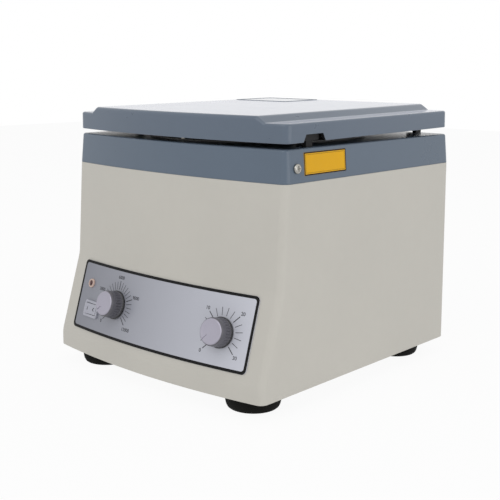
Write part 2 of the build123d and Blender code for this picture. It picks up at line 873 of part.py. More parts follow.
# Rotor cover with its raised boss, and the nut that clamps it
with BuildPart() as rotor_cover:
    with BuildSketch(Plane.XY.offset(cover_bottom)):
        with Locations((0, rotor_y)):
            Circle(seal_inner - fit_gap)
    extrude(amount=cover_thickness)
    with BuildSketch(Plane.XY.offset(cover_bottom)):
        with Locations((0, rotor_y)):
            Circle(cover_boss_radius + boss_foot)
    extrude(amount=cover_boss_height, taper=boss_taper)
    with BuildSketch(Plane.XY.offset(cover_bottom)):
        with Locations((0, rotor_y)):
            Circle(shaft_radius + running_fit)
    extrude(amount=cover_boss_height, mode=Mode.SUBTRACT)
save(rotor_cover, "rotor_cover")

with BuildPart() as cover_nut:
    with BuildSketch(Plane.XY.offset(nut_bottom)):
        with Locations((0, rotor_y)):
            Circle(nut_radius)
    extrude(amount=nut_height)
    chamfer(cover_nut.faces().sort_by(Axis.Z)[-1].edges(), 1.2)
    with BuildSketch(Plane.XY.offset(nut_bottom)):
        with Locations((0, rotor_y)):
            Circle(shaft_radius + running_fit)
    extrude(amount=stud_engagement + fit_gap, mode=Mode.SUBTRACT)
    with BuildSketch(Plane.XY.offset(nut_bottom)):
        with Locations((0, rotor_y)):
            with PolarLocations(nut_radius, nut_grip_count):
                Circle(nut_grip_radius)
    extrude(amount=nut_height, mode=Mode.SUBTRACT)
save(cover_nut, "cover_nut")

# Control panel, a thin plate that follows the bowed slanted front
slope_length = hypot(panel_run, panel_rise)
slope_direction = (0, -panel_run / slope_length, -panel_rise / slope_length)
panel_place = panel_point(0.0, panel_middle_drop)
with BuildPart() as control_panel:
    with BuildSketch(Plane.XY.offset(knee)) as band:
        arc_centre = bow_radius + front_y - front_bow - upper_lean
        with Locations((0, arc_centre)):
            Circle(bow_radius + panel_thickness)
            Circle(bow_radius, mode=Mode.SUBTRACT)
        with Locations((0, front_y - full_forward)):
            Rectangle(panel_width * 1.1, 2 * front_bow + 2 * full_forward, mode=Mode.INTERSECT)
    extrude(amount=slope_length, dir=slope_direction)
    with BuildSketch(panel_place.offset(-2 * front_bow)):
        with Locations((panel_middle, 0)):
            RectangleRounded(panel_width, panel_height, panel_corner)
    extrude(amount=4 * front_bow, mode=Mode.INTERSECT)
    for place in (speed_place, timer_place):
        with BuildSketch(place.offset(-panel_thickness)):
            Circle(control_hole)
        extrude(amount=panel_thickness * 4, mode=Mode.SUBTRACT)
    with BuildSketch(rocker_place.offset(-panel_thickness)):
        Rectangle(rocker_body_width, rocker_body_height)
    extrude(amount=panel_thickness * 4, mode=Mode.SUBTRACT)
    with BuildSketch(lamp_place.offset(-panel_thickness)):
        Circle(lamp_bore + lamp_sleeve + seat_gap)
    extrude(amount=panel_thickness * 4, mode=Mode.SUBTRACT)
save(control_panel, "control_panel")

# Speed potentiometer and clockwork timer behind the panel, each with a threaded bushing
seat = cabinet_wall + seat_gap
timer_seat = seat + timer_washer
with BuildPart() as speed_potentiometer:
    with BuildSketch(speed_place.offset(-seat)):
        Circle(pot_radius)
    extrude(amount=-pot_depth)
    with BuildSketch(speed_place.offset(-seat)):
        Circle(bushing_radius)
    extrude(amount=seat + bushing_reach)
    with BuildSketch(speed_place.offset(bushing_reach)):
        Circle(spindle_radius + running_fit)
    extrude(amount=-(bushing_reach + seat + pot_depth - 2), mode=Mode.SUBTRACT)
save(speed_potentiometer, "speed_potentiometer")

with BuildPart() as timer_mechanism:
    with BuildSketch(timer_place.offset(-timer_seat)):
        RectangleRounded(timer_side, timer_side, 4)
    extrude(amount=-timer_depth)
    with BuildSketch(timer_place.offset(-timer_seat)):
        Circle(bushing_radius)
    extrude(amount=timer_seat + bushing_reach)
    with BuildSketch(timer_place.offset(bushing_reach)):
        Circle(spindle_radius + running_fit)
    extrude(amount=-(bushing_reach + seat + timer_depth / 2), mode=Mode.SUBTRACT)
save(timer_mechanism, "timer_mechanism")

with BuildPart() as panel_nuts:
    for place in (speed_place, timer_place):
        with BuildSketch(place.offset(panel_thickness + seat_gap)):
            RegularPolygon(nut_flat_radius, 6)
            Circle(bushing_radius, mode=Mode.SUBTRACT)
        extrude(amount=panel_nut_height)
save(panel_nuts, "panel_nuts")


# Knobs: a fluted grip with a skirt, a bright cap let into its face, and its spindle
def knob_grip(place):
    """Fluted grip with a skirt, hollow below for the panel nut and bored for the spindle."""
    base = panel_thickness + knob_lift
    hollow = bushing_reach + knob_lift - base
    with BuildPart() as grip:
        with BuildSketch(place.offset(base)):
            Circle(knob_radius)
        extrude(amount=knob_skirt)
        with BuildSketch(place.offset(base + knob_skirt)):
            Circle(knob_grip_radius)
        extrude(amount=knob_top - base - knob_skirt, taper=knob_taper)
        with BuildSketch(place.offset(base + knob_skirt)):
            with PolarLocations(knob_grip_radius, flute_count):
                Circle(flute_radius)
        extrude(amount=knob_top, mode=Mode.SUBTRACT)
        with BuildSketch(place.offset(knob_top)):
            Circle(knob_cap_radius)
        extrude(amount=-knob_cap_thickness / 2, mode=Mode.SUBTRACT)
        with BuildSketch(place.offset(base)):
            Circle(knob_grip_radius - knob_wall)
        extrude(amount=hollow, mode=Mode.SUBTRACT)
        with BuildSketch(place.offset(base)):
            Circle(spindle_radius)
        extrude(amount=knob_top - knob_wall - base, mode=Mode.SUBTRACT)
    return grip.part


def knob_cap(place):
    """Turned cap that stands a little proud of the grip, with a pointer groove towards its edge."""
    with BuildPart() as cap:
        with BuildSketch(place.offset(knob_top - knob_cap_thickness / 2)):
            Circle(knob_cap_radius)
        extrude(amount=knob_cap_thickness)
        outer_face = cap.faces().sort_by(Axis(place.origin, place.z_dir))[-1]
        chamfer(outer_face.edges(), pointer_depth)
        with BuildSketch(place.offset(knob_top + knob_cap_thickness / 2)):
            with PolarLocations(knob_cap_radius * 0.65, 1, start_angle=pointer_angle):
                Rectangle(knob_cap_radius * 0.5, pointer_width)
        extrude(amount=-pointer_depth, mode=Mode.SUBTRACT)
    return cap.part


def spindle(place, depth):
    """Control spindle from inside the mechanism to the blind end of the knob's bore."""
    with BuildPart() as rod:
        with BuildSketch(place.offset(-depth)):
            Circle(spindle_radius)
        extrude(amount=depth + knob_top - knob_wall)
    return rod.part


for control, place, depth in (("speed", speed_place, pot_depth - 1), ("timer", timer_place, timer_depth / 2)):
    with BuildPart() as grip_part:
        add(knob_grip(place))
    save(grip_part, f"{control}_knob")
    with BuildPart() as cap_part:
        add(knob_cap(place))
    save(cap_part, f"{control}_knob_cap")
    with BuildPart() as spindle_part:
        add(spindle(place, depth))
    save(spindle_part, f"{control}_spindle")

# Power rocker in its frame. At rest it is tilted to the off side.
with BuildPart() as rocker_frame:
    with BuildSketch(rocker_place.offset(panel_thickness + seat_gap)):
        RectangleRounded(rocker_frame_width, rocker_frame_height, 1.5)
    extrude(amount=rocker_frame_thickness)
    with BuildSketch(rocker_place.offset(panel_thickness + seat_gap)):
        Rectangle(rocker_body_width - fit_gap, rocker_body_height - fit_gap)
    extrude(amount=-rocker_body_depth)
    with BuildSketch(rocker_place.offset(panel_thickness + seat_gap + rocker_frame_thickness)):
        Rectangle(rocker_well_width, rocker_well_height)
    extrude(amount=-rocker_well_depth, mode=Mode.SUBTRACT)
    with BuildSketch(Plane(origin=rocker_place.origin, x_dir=rocker_place.x_dir, z_dir=rocker_place.y_dir)):
        Circle(trunnion_radius + running_fit)
    extrude(amount=rocker_well_height / 2 + trunnion_reach + rocker_side_gap, both=True, mode=Mode.SUBTRACT)
save(rocker_frame, "rocker_frame")

with BuildPart() as power_rocker:
    turned = Plane(rocker_place.location * Rotation(0, rocker_tilt, 0))
    rocker_side = Plane(origin=turned.origin, x_dir=turned.x_dir, z_dir=-turned.y_dir)
    with BuildSketch(rocker_side):
        with BuildLine():
            Polyline(
                (-rocker_half, rocker_edge),
                (-rocker_half, rocker_peak),
                (0, rocker_dip),
                (rocker_half, rocker_peak),
                (rocker_half, rocker_edge),
                (0, -rocker_root),
                close=True,
            )
        make_face()
    extrude(amount=rocker_well_height / 2 - rocker_side_gap, both=True)
    with BuildSketch(rocker_side):
        Circle(trunnion_radius)
    extrude(amount=rocker_well_height / 2 + trunnion_reach, both=True)
save(power_rocker, "power_rocker")

# Pilot lamp
with BuildPart() as lamp_bezel:
    with BuildSketch(lamp_place.offset(panel_thickness + seat_gap)):
        Circle(lamp_radius)
    extrude(amount=lamp_rise)
    chamfer(lamp_bezel.faces().sort_by(Axis(lamp_place.origin, lamp_place.z_dir))[-1].edges(), 0.6)
    with BuildSketch(lamp_place.offset(panel_thickness + seat_gap)):
        Circle(lamp_bore + lamp_sleeve)
    extrude(amount=-lamp_tail)
    with BuildSketch(lamp_place.offset(panel_thickness + lamp_rise + 1)):
        Circle(lamp_bore)
    extrude(amount=-lamp_tail - lamp_rise, mode=Mode.SUBTRACT)
save(lamp_bezel, "lamp_bezel")

with BuildPart() as lamp_lens:
    with BuildSketch(lamp_place.offset(panel_thickness + lamp_rise - lens_dip)):
        Circle(lamp_bore)
    extrude(amount=-lamp_tail)
    fillet(lamp_lens.faces().sort_by(Axis(lamp_place.origin, lamp_place.z_dir))[-1].edges(), 1.0)
save(lamp_lens, "lamp_lens")

# Power inlet on the rear wall, with three blades and a fuse drawer
with BuildPart() as power_inlet:
    with BuildSketch(inlet_plane):
        RectangleRounded(inlet_width, inlet_height, 3)
        with GridLocations(inlet_screw_spacing, 0, 2, 1):
            Circle(small_screw_radius, mode=Mode.SUBTRACT)
    extrude(amount=inlet_proud)
    with BuildSketch(inlet_plane):
        Rectangle(inlet_body_width - fit_gap, inlet_body_height - fit_gap)
    extrude(amount=-inlet_body_depth)
    with BuildSketch(inlet_plane.offset(inlet_proud)):
        with Locations((0, socket_rise)):
            RectangleRounded(socket_width, socket_height, 2.5)
    extrude(amount=-socket_depth, mode=Mode.SUBTRACT)
    with BuildSketch(inlet_plane.offset(inlet_proud)):
        with Locations((0, -drawer_drop)):
            Rectangle(drawer_width, drawer_height)
    extrude(amount=-drawer_depth, mode=Mode.SUBTRACT)
save(power_inlet, "power_inlet")

blade_places = [(x, socket_rise - earth_lift) for x in (-pin_spacing / 2, pin_spacing / 2)]
blade_places += [(0.0, socket_rise + earth_lift)]
with BuildPart() as inlet_blades:
    with BuildSketch(inlet_plane.offset(inlet_proud - socket_depth)):
        with Locations(*blade_places):
            Rectangle(pin_blade_width, pin_blade_height)
    extrude(amount=pin_blade_length)
save(inlet_blades, "inlet_blades")

with BuildPart() as fuse_drawer:
    with BuildSketch(inlet_plane.offset(inlet_proud)):
        with Locations((0, -drawer_drop)):
            Rectangle(drawer_width, drawer_height)
            with Locations((0, drawer_height / 2)):
                Rectangle(drawer_width / 3, drawer_notch, mode=Mode.SUBTRACT)
    extrude(amount=-drawer_depth)
save(fuse_drawer, "fuse_drawer")

with BuildPart() as inlet_screws:
    with Locations(inlet_plane.offset(inlet_proud)):
        with GridLocations(inlet_screw_spacing, 0, 2, 1):
            add(pan_screw(small_head, small_head_height, small_screw_radius, inlet_proud + cabinet_wall + 3))
save(inlet_screws, "inlet_screws")

# Speed control board on four standoffs
board_y = front_y + board_front
board_z = floor_top + board_rise
with BuildPart() as board_standoffs:
    with BuildSketch(Plane.XY.offset(floor_top)):
        with Locations((board_x, board_y)):
            with GridLocations(board_width - 2 * standoff_inset, board_depth - 2 * standoff_inset, 2, 2):
                Circle(standoff_radius)
    extrude(amount=board_rise)
save(board_standoffs, "board_standoffs")

with BuildPart() as control_board:
    with BuildSketch(Plane.XY.offset(board_z)):
        with Locations((board_x, board_y)):
            Rectangle(board_width, board_depth)
    extrude(amount=board_thickness)
    with BuildSketch(Plane.XY.offset(board_z + board_thickness)):
        with Locations((board_x - board_width * 0.3, board_y - board_depth * 0.15)):
            Circle(capacitor_radius)
        with Locations((board_x - board_width * 0.3, board_y + board_depth * 0.28)):
            Rectangle(transformer_width, transformer_depth)
    extrude(amount=capacitor_height)
    with BuildSketch(Plane.XY.offset(board_z + board_thickness)):
        with Locations((board_x + sink_depth / 2, board_y + sink_depth / 2)):
            Rectangle(sink_width, sink_depth)
            with Locations((0, -sink_depth / 6)):
                with GridLocations(sink_width / sink_fins, 0, sink_fins, 1):
                    Rectangle(sink_width / sink_fins / 2, sink_depth * 0.75, mode=Mode.SUBTRACT)
    extrude(amount=sink_height)
save(control_board, "control_board")

# Lid switch under the deck
with BuildPart() as lid_switch:
    with BuildSketch(Plane.XY.offset(deck_z - deck_wall)):
        with Locations(plunger_place):
            Rectangle(switch_box_width, switch_box_depth)
    extrude(amount=-switch_box_height)
    with BuildSketch(Plane.XY.offset(deck_z - deck_wall)):
        with Locations(plunger_place):
            Circle(plunger_radius + running_fit)
    extrude(amount=-(plunger_depth + plunger_travel + 1 - deck_wall), mode=Mode.SUBTRACT)
save(lid_switch, "lid_switch")

with BuildPart() as switch_plunger:
    with BuildSketch(Plane.XY.offset(deck_z + plunger_rise)):
        with Locations(plunger_place):
            Circle(plunger_radius)
    extrude(amount=-plunger_rise - plunger_depth)
    fillet(switch_plunger.faces().sort_by(Axis.Z)[-1].edges(), 0.8)
save(switch_plunger, "switch_plunger")

# Lid, in its own plane: local Y runs back along the lid, which rises slightly to the rear
lid_plane = Plane(
    origin=(0, lid_front_y, deck_z + front_gap), x_dir=(1, 0, 0), z_dir=(0, -sin(lid_tilt), cos(lid_tilt))
)
lid_section = Plane(origin=lid_plane.origin, x_dir=(1, 0, 0), z_dir=-lid_plane.y_dir)
platform_half = lid_half - shoulder_width
shoulder_top = lid_height - shoulder_drop
shoulder_ceiling = shoulder_top - shoulder_skin
platform_ceiling = lid_height - shoulder_skin
boss_x = lid_half - boss_side_inset
boss_places = [(x, y) for x in (-boss_x, boss_x) for y in (boss_front_inset, lid_depth - boss_rear_inset)]
middle_boss_front = rotor_y - lid_front_y - gasket_outer - middle_boss_gap
boss_places += [(0.0, y) for y in (middle_boss_front, lid_depth - middle_boss_rear_inset)]
liner_top = liner_recess + liner_thickness


def lid_plan(inset=0.0):
    """Lid outline in the lid's own plane, with its front corners at local Y zero."""
    return plan(lid_half, 0.0, lid_depth, lid_corner, inset)


def lid_side(x):
    """Plane across the lid at x, whose local X runs back and local Y up."""
    return Plane(origin=lid_plane.from_local_coords((x, 0, 0)), x_dir=lid_plane.y_dir, z_dir=(1, 0, 0))


with BuildPart() as lid_shell:
    with BuildSketch(lid_plane):
        add(lid_plan())
    extrude(amount=lid_height)
    with BuildSketch(lid_section):
        for side in (-1, 1):
            with BuildLine():
                Polyline(
                    (side * platform_half, lid_height + 1),
                    (side * platform_half, lid_height),
                    (side * (platform_half + shoulder_run), shoulder_top),
                    (side * (lid_half + lid_wall), shoulder_top),
                    (side * (lid_half + lid_wall), lid_height + 1),
                    close=True,
                )
            make_face()
    extrude(amount=lid_depth * 2, both=True, mode=Mode.SUBTRACT)
    upper = [edge for edge in lid_shell.edges() if lid_plane.to_local_coords(edge.center()).Z > shoulder_top + 0.1]
    convex = [edge for edge in upper if lid_plane.to_local_coords(edge.center()).Z > lid_height - 0.1]
    fillet(convex, lid_edge)
    shoulder_line = [
        edge
        for edge in lid_shell.edges()
        if abs(lid_plane.to_local_coords(edge.center()).Z - shoulder_top) < 0.05
        and abs(lid_plane.to_local_coords(edge.center()).X) > platform_half + shoulder_run + 1
    ]
    fillet(shoulder_line, shoulder_edge)
    with BuildSketch(lid_plane):
        add(lid_plan(lid_wall))
    extrude(amount=shoulder_ceiling, mode=Mode.SUBTRACT)
    with BuildSketch(lid_plane.offset(shoulder_ceiling)):
        with Locations((0, lid_depth / 2)):
            Rectangle(2 * platform_half - 2 * lid_wall, lid_depth - 4 * lid_wall)
    extrude(amount=platform_ceiling - shoulder_ceiling, mode=Mode.SUBTRACT)
    with BuildSketch(lid_plane.offset(liner_top)):
        with Locations(*boss_places):
            Circle(boss_radius)
    extrude(amount=lid_height - lid_wall / 2 - liner_top)
    with BuildSketch(lid_plane.offset(liner_top)):
        with Locations(*boss_places):
            Circle(small_screw_radius)
    extrude(amount=boss_bore, mode=Mode.SUBTRACT)
    with BuildSketch(lid_side(lid_half + 1)):
        with BuildLine():
            Polyline(
                (notch_y - notch_bottom / 2, -1),
                (notch_y - notch_bottom / 2, 0),
                (notch_y - notch_top / 2, notch_height),
                (notch_y + notch_top / 2, notch_height),
                (notch_y + notch_bottom / 2, 0),
                (notch_y + notch_bottom / 2, -1),
                close=True,
            )
        make_face()
    extrude(amount=-lid_wall - 2, mode=Mode.SUBTRACT)
save(lid_shell, "lid_shell")

# Liner plate that closes the lid from below, notched for the latch and the hinge arms
pocket_length = notch_bottom + 2 * latch_travel
pocket_width = slider_width + 4.0
arm_inner = hinge_side - ear_width / 2 - fit_gap - arm_width
with BuildPart() as lid_liner:
    with BuildSketch(lid_plane.offset(liner_recess)):
        add(lid_plan(lid_wall + fit_gap))
        with Locations((lid_half - lid_wall - pocket_width / 2, notch_y)):
            Rectangle(pocket_width, pocket_length, mode=Mode.SUBTRACT)
        with Locations(*[(side * (arm_inner + arm_width / 2), lid_depth - lid_wall) for side in (-1, 1)]):
            Rectangle(arm_width + 2, 2 * arm_thickness + 2, mode=Mode.SUBTRACT)
        with Locations(*boss_places):
            Circle(small_screw_radius, mode=Mode.SUBTRACT)
    extrude(amount=liner_thickness)
save(lid_liner, "lid_liner")

with BuildPart() as liner_screws:
    screw_planes = [
        Plane(origin=lid_plane.from_local_coords((x, y, liner_recess)), x_dir=(1, 0, 0), z_dir=-lid_plane.z_dir)
        for x, y in boss_places
    ]
    with Locations(*screw_planes):
        add(pan_screw(small_head, small_head_height, small_screw_radius, liner_thickness + boss_bore))
save(liner_screws, "liner_screws")

# Ring gasket under the liner, level below where it meets the chamber flange
with BuildPart() as lid_gasket:
    with BuildSketch(Plane.XY.offset(deck_z + bowl_wall + fit_gap)):
        with Locations((0, rotor_y)):
            Circle(gasket_outer)
            Circle(gasket_inner, mode=Mode.SUBTRACT)
    extrude(amount=rear_gap * 2)
    split(bisect_by=lid_plane.offset(liner_recess), keep=Keep.BOTTOM)
save(lid_gasket, "lid_gasket")

with BuildPart() as lid_top_plate:
    plate_x = -(lid_half - plate_side - plate_width / 2)
    with BuildSketch(lid_plane.offset(lid_height)):
        with Locations((plate_x, lid_depth - plate_back - plate_depth / 2)):
            RectangleRounded(plate_width, plate_depth, 1.5)
    extrude(amount=plate_thickness)
save(lid_top_plate, "lid_top_plate")

# Striker that presses the lid switch
with BuildPart() as switch_striker:
    with BuildSketch(Plane.XY.offset(deck_z + plunger_rise + fit_gap)):
        with Locations(plunger_place):
            Circle(striker_radius)
    extrude(amount=rear_gap * 2)
    split(bisect_by=lid_plane.offset(liner_recess), keep=Keep.BOTTOM)
save(switch_striker, "switch_striker")

# Hinge: an ear on the deck at each side, its pin, and the arm on the lid
with BuildPart() as hinge_ears:
    for side in (-1, 1):
        with BuildSketch(Plane(origin=(side * hinge_side, hinge_y, hinge_z), x_dir=(0, 1, 0), z_dir=(1, 0, 0))):
            Circle(knuckle_radius)
            with BuildLine():
                Polyline(
                    (-ear_reach, -hinge_rise),
                    (-ear_reach, 0),
                    (0, knuckle_radius),
                    (knuckle_radius, 0),
                    (knuckle_radius, -hinge_rise),
                    close=True,
                )
            make_face()
            Circle(pin_radius, mode=Mode.SUBTRACT)
        extrude(amount=ear_width / 2, both=True)
    with BuildSketch(Plane.XY.offset(deck_z)):
        with Locations(*ear_places):
            Circle(pin_radius)
    extrude(amount=hinge_rise, mode=Mode.SUBTRACT)
save(hinge_ears, "hinge_ears")

with BuildPart() as hinge_pins:
    for side in (-1, 1):
        pin_end = (side * (hinge_side + ear_width / 2), hinge_y, hinge_z)
        with BuildSketch(Plane(origin=pin_end, x_dir=(0, 1, 0), z_dir=(-side, 0, 0))):
            Circle(pin_radius)
        extrude(amount=ear_width + fit_gap + arm_width)
save(hinge_pins, "hinge_pins")

axis_local = lid_side(0.0).to_local_coords(Vector(0, hinge_y, hinge_z))
inner_face = lid_depth - lid_wall
with BuildPart() as hinge_arms:
    for side in (-1, 1):
        with BuildSketch(lid_side(side * (arm_inner + arm_width / 2))):
            with Locations((axis_local.X, axis_local.Y)):
                Circle(knuckle_radius)
            with BuildLine():
                Polyline(
                    (inner_face - arm_thickness, axis_local.Y - arm_over),
                    (axis_local.X, axis_local.Y - knuckle_radius),
                    (axis_local.X, axis_local.Y + arm_over),
                    (inner_face, axis_local.Y + arm_over),
                    (inner_face, shoulder_ceiling),
                    (inner_face - arm_thickness, shoulder_ceiling),
                    close=True,
                )
            make_face()
            with Locations((axis_local.X, axis_local.Y)):
                Circle(pin_radius + running_fit, mode=Mode.SUBTRACT)
        extrude(amount=arm_width / 2, both=True)
save(hinge_arms, "hinge_arms")

# Latch: a slider in a tee-slotted guide, with a hook that reaches under a keeper on the deck
slider_top = slider_lift + slider_height
tee_z = slider_top + fit_gap + tee_drop + tee_rise
guide_bottom = slider_top + fit_gap
hook_top = -(front_gap + notch_y * tan(lid_tilt) + deck_wall + keeper_thickness + hook_drop)
with BuildPart() as latch_guide:
    with BuildSketch(lid_section.offset(-notch_y)):
        with Locations((slider_x + fit_gap / 2, (guide_bottom + shoulder_ceiling) / 2)):
            Rectangle(slider_width + fit_gap, shoulder_ceiling - guide_bottom)
        with Locations((slider_x, guide_bottom + tee_drop)):
            Rectangle(tee_neck + 2 * fit_gap, 2 * tee_drop, mode=Mode.SUBTRACT)
        with Locations((slider_x, tee_z)):
            Rectangle(tee_head + 2 * fit_gap, tee_rise + 2 * fit_gap, mode=Mode.SUBTRACT)
    extrude(amount=pocket_length / 2 - 0.5, both=True)
save(latch_guide, "latch_guide")

with BuildPart() as latch_slider:
    with BuildSketch(lid_plane.offset(slider_lift)):
        with Locations((slider_x, notch_y)):
            RectangleRounded(slider_width, slider_length, 1)
    extrude(amount=slider_height)
    with BuildSketch(lid_section.offset(-notch_y)):
        with Locations((slider_x, (slider_top + tee_z) / 2)):
            Rectangle(tee_neck, tee_z - slider_top)
        with Locations((slider_x, tee_z)):
            Rectangle(tee_head, tee_rise)
    extrude(amount=slider_length / 2, both=True)
    with BuildSketch(lid_plane.offset(slider_lift)):
        with Locations((stem_x, notch_y)):
            Rectangle(stem_width, stem_length)
    extrude(amount=hook_top - hook_thickness - slider_lift)
    with BuildSketch(lid_plane.offset(hook_top)):
        with Locations((stem_x, notch_y - hook_reach / 2)):
            Rectangle(stem_width, stem_length + hook_reach)
    extrude(amount=-hook_thickness)
save(latch_slider, "latch_slider")

keeper_outer = body_half - deck_inset - deck_wall - fit_gap
keeper_inner = stem_x - stem_width / 2 - slot_clear - keeper_margin
with BuildPart() as latch_keeper:
    with BuildSketch(Plane.XY.offset(deck_z - deck_wall)):
        with Locations(((keeper_inner + keeper_outer) / 2, (slot_front + slot_back) / 2)):
            Rectangle(keeper_outer - keeper_inner, slot_back - slot_front + 2 * keeper_margin)
        with Locations((stem_x, (slot_front + slot_back) / 2)):
            Rectangle(stem_width + 2 * slot_clear, slot_back - slot_front, mode=Mode.SUBTRACT)
    extrude(amount=-keeper_thickness)
save(latch_keeper, "latch_keeper")
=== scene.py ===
"""Looks of a bench hematocrit centrifuge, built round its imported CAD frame.

Lengths in the classes are millimetres; every mesh is written in metres in the frame of the CAD model,
with X across the front, Y from front to back and Z up.
"""

from __future__ import annotations

import json
import logging
import math
from dataclasses import dataclass, field, replace
from enum import Enum
from typing import Sequence

import bmesh
import bpy
import numpy as np
from mathutils import Matrix, Vector

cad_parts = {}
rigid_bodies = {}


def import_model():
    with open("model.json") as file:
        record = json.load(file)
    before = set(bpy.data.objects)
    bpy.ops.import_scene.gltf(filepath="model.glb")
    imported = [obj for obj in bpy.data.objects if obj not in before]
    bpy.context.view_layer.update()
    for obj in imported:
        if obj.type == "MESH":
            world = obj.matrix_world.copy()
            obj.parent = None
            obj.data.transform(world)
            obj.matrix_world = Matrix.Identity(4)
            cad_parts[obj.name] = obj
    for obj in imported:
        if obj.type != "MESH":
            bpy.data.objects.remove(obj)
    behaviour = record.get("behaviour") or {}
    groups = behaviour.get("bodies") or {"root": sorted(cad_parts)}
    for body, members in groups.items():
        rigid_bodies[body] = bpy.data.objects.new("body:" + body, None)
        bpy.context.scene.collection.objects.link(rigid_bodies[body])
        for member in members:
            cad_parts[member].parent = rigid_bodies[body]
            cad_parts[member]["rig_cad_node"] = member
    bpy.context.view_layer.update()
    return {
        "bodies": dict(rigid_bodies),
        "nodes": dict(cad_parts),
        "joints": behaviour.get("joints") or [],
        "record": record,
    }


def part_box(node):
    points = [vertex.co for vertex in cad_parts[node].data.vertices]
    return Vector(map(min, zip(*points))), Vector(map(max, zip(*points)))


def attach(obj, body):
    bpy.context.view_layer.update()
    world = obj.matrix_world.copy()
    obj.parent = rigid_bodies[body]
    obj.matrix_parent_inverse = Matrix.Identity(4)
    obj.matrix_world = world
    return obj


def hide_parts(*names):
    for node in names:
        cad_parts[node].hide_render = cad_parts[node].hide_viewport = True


log = logging.getLogger("centrifuge")
MM = 0.001
ORIGIN = (0.0, 0.0, 0.0)
UPRIGHT = ((1, 0, 0), (0, 1, 0), (0, 0, 1))
DUST_COLOUR = (0.55, 0.53, 0.5, 1.0)
SHEEN_TINT = (0.8, 0.83, 1.0, 1.0)

# Places on the slanted front: across from its middle, and drop below the knee
SPEED_PLACE = (-47.5, 35.3)
TIMER_PLACE = (81.2, 36.4)
LAMP_PLACE = (-90.4, 23.2)
ROCKER_PLACE = (-82.0, 45.3)

# Holes behind the controls, each a place and a radius, and the rocker's window
CONTROL_HOLES = ((SPEED_PLACE, 3.7), (TIMER_PLACE, 3.7), (LAMP_PLACE, 3.2))
ROCKER_WINDOW = (19.0, 13.0)


# Colour and shader helpers


def linear(red: float, green: float, blue: float) -> tuple[float, float, float, float]:
    """Turn a display colour of 0 to 255 into the scene's linear values.

    Args:
        red: red as it shows on a display.
        green: green as it shows on a display.
        blue: blue as it shows on a display.

    Returns:
        Linear red, green, blue and an alpha of 1.
    """
    shown = np.array((red, green, blue)) / 255.0
    low = shown / 12.92
    high = ((shown + 0.055) / 1.055) ** 2.4
    value = np.where(shown <= 0.04045, low, high)
    return (float(value[0]), float(value[1]), float(value[2]), 1.0)


def scaled(colour: Sequence[float], factor: float) -> tuple[float, float, float, float]:
    """Lighten or darken a linear colour by a factor, kept under 1."""
    return tuple(min(channel * factor, 1.0) for channel in colour[:3]) + (1.0,)


def node(tree: bpy.types.NodeTree, kind: str, inputs: dict | None = None, **attributes) -> bpy.types.Node:
    """Add a node, set its attributes and fill its inputs.

    Args:
        tree: the tree that takes the node.
        kind: the node's type name.
        inputs: socket name or index to a constant or to an output socket, which is linked.
        attributes: plain attributes of the node.

    Returns:
        The new node.
    """
    made = tree.nodes.new(kind)
    for key, value in attributes.items():
        setattr(made, key, value)
    for key, value in (inputs or {}).items():
        if isinstance(value, bpy.types.NodeSocket):
            tree.links.new(value, made.inputs[key])
        else:
            made.inputs[key].default_value = value
    return made


def math_node(tree: bpy.types.NodeTree, operation: str, first, second=0.0, clamp: bool = False):
    """Add a Math node and return its output socket."""
    made = node(tree, "ShaderNodeMath", {0: first, 1: second}, operation=operation, use_clamp=clamp)
    return made.outputs[0]


def vector_math(tree: bpy.types.NodeTree, operation: str, first, second=ORIGIN) -> bpy.types.Node:
    """Add a Vector Math node and return it."""
    return node(tree, "ShaderNodeVectorMath", {0: first, 1: second}, operation=operation)


def noise(tree: bpy.types.NodeTree, place, scale, detail: float):
    """Add a Noise texture and return its value socket."""
    return node(tree, "ShaderNodeTexNoise", {"Vector": place, "Scale": scale, "Detail": detail}).outputs[0]


def blank_material(name: str) -> tuple[bpy.types.Material, bpy.types.NodeTree]:
    """Make a material with an empty node tree."""
    made = bpy.data.materials.new(name)
    made.use_nodes = True
    made.node_tree.nodes.clear()
    return made, made.node_tree


def mix_colour(tree: bpy.types.NodeTree, factor, first, second):
    """Mix two colours by a factor and return the output socket."""
    return node(tree, "ShaderNodeMix", {0: factor, 6: first, 7: second}, data_type="RGBA").outputs[2]


def spread(tree: bpy.types.NodeTree, value, low: float, high: float, start: float = 0.0, end: float = 1.0):
    """Map a value from start..end to low..high, held at both ends, and return the output socket."""
    sockets = {"Value": value, "From Min": start, "From Max": end, "To Min": low, "To Max": high}
    return node(tree, "ShaderNodeMapRange", sockets).outputs[0]


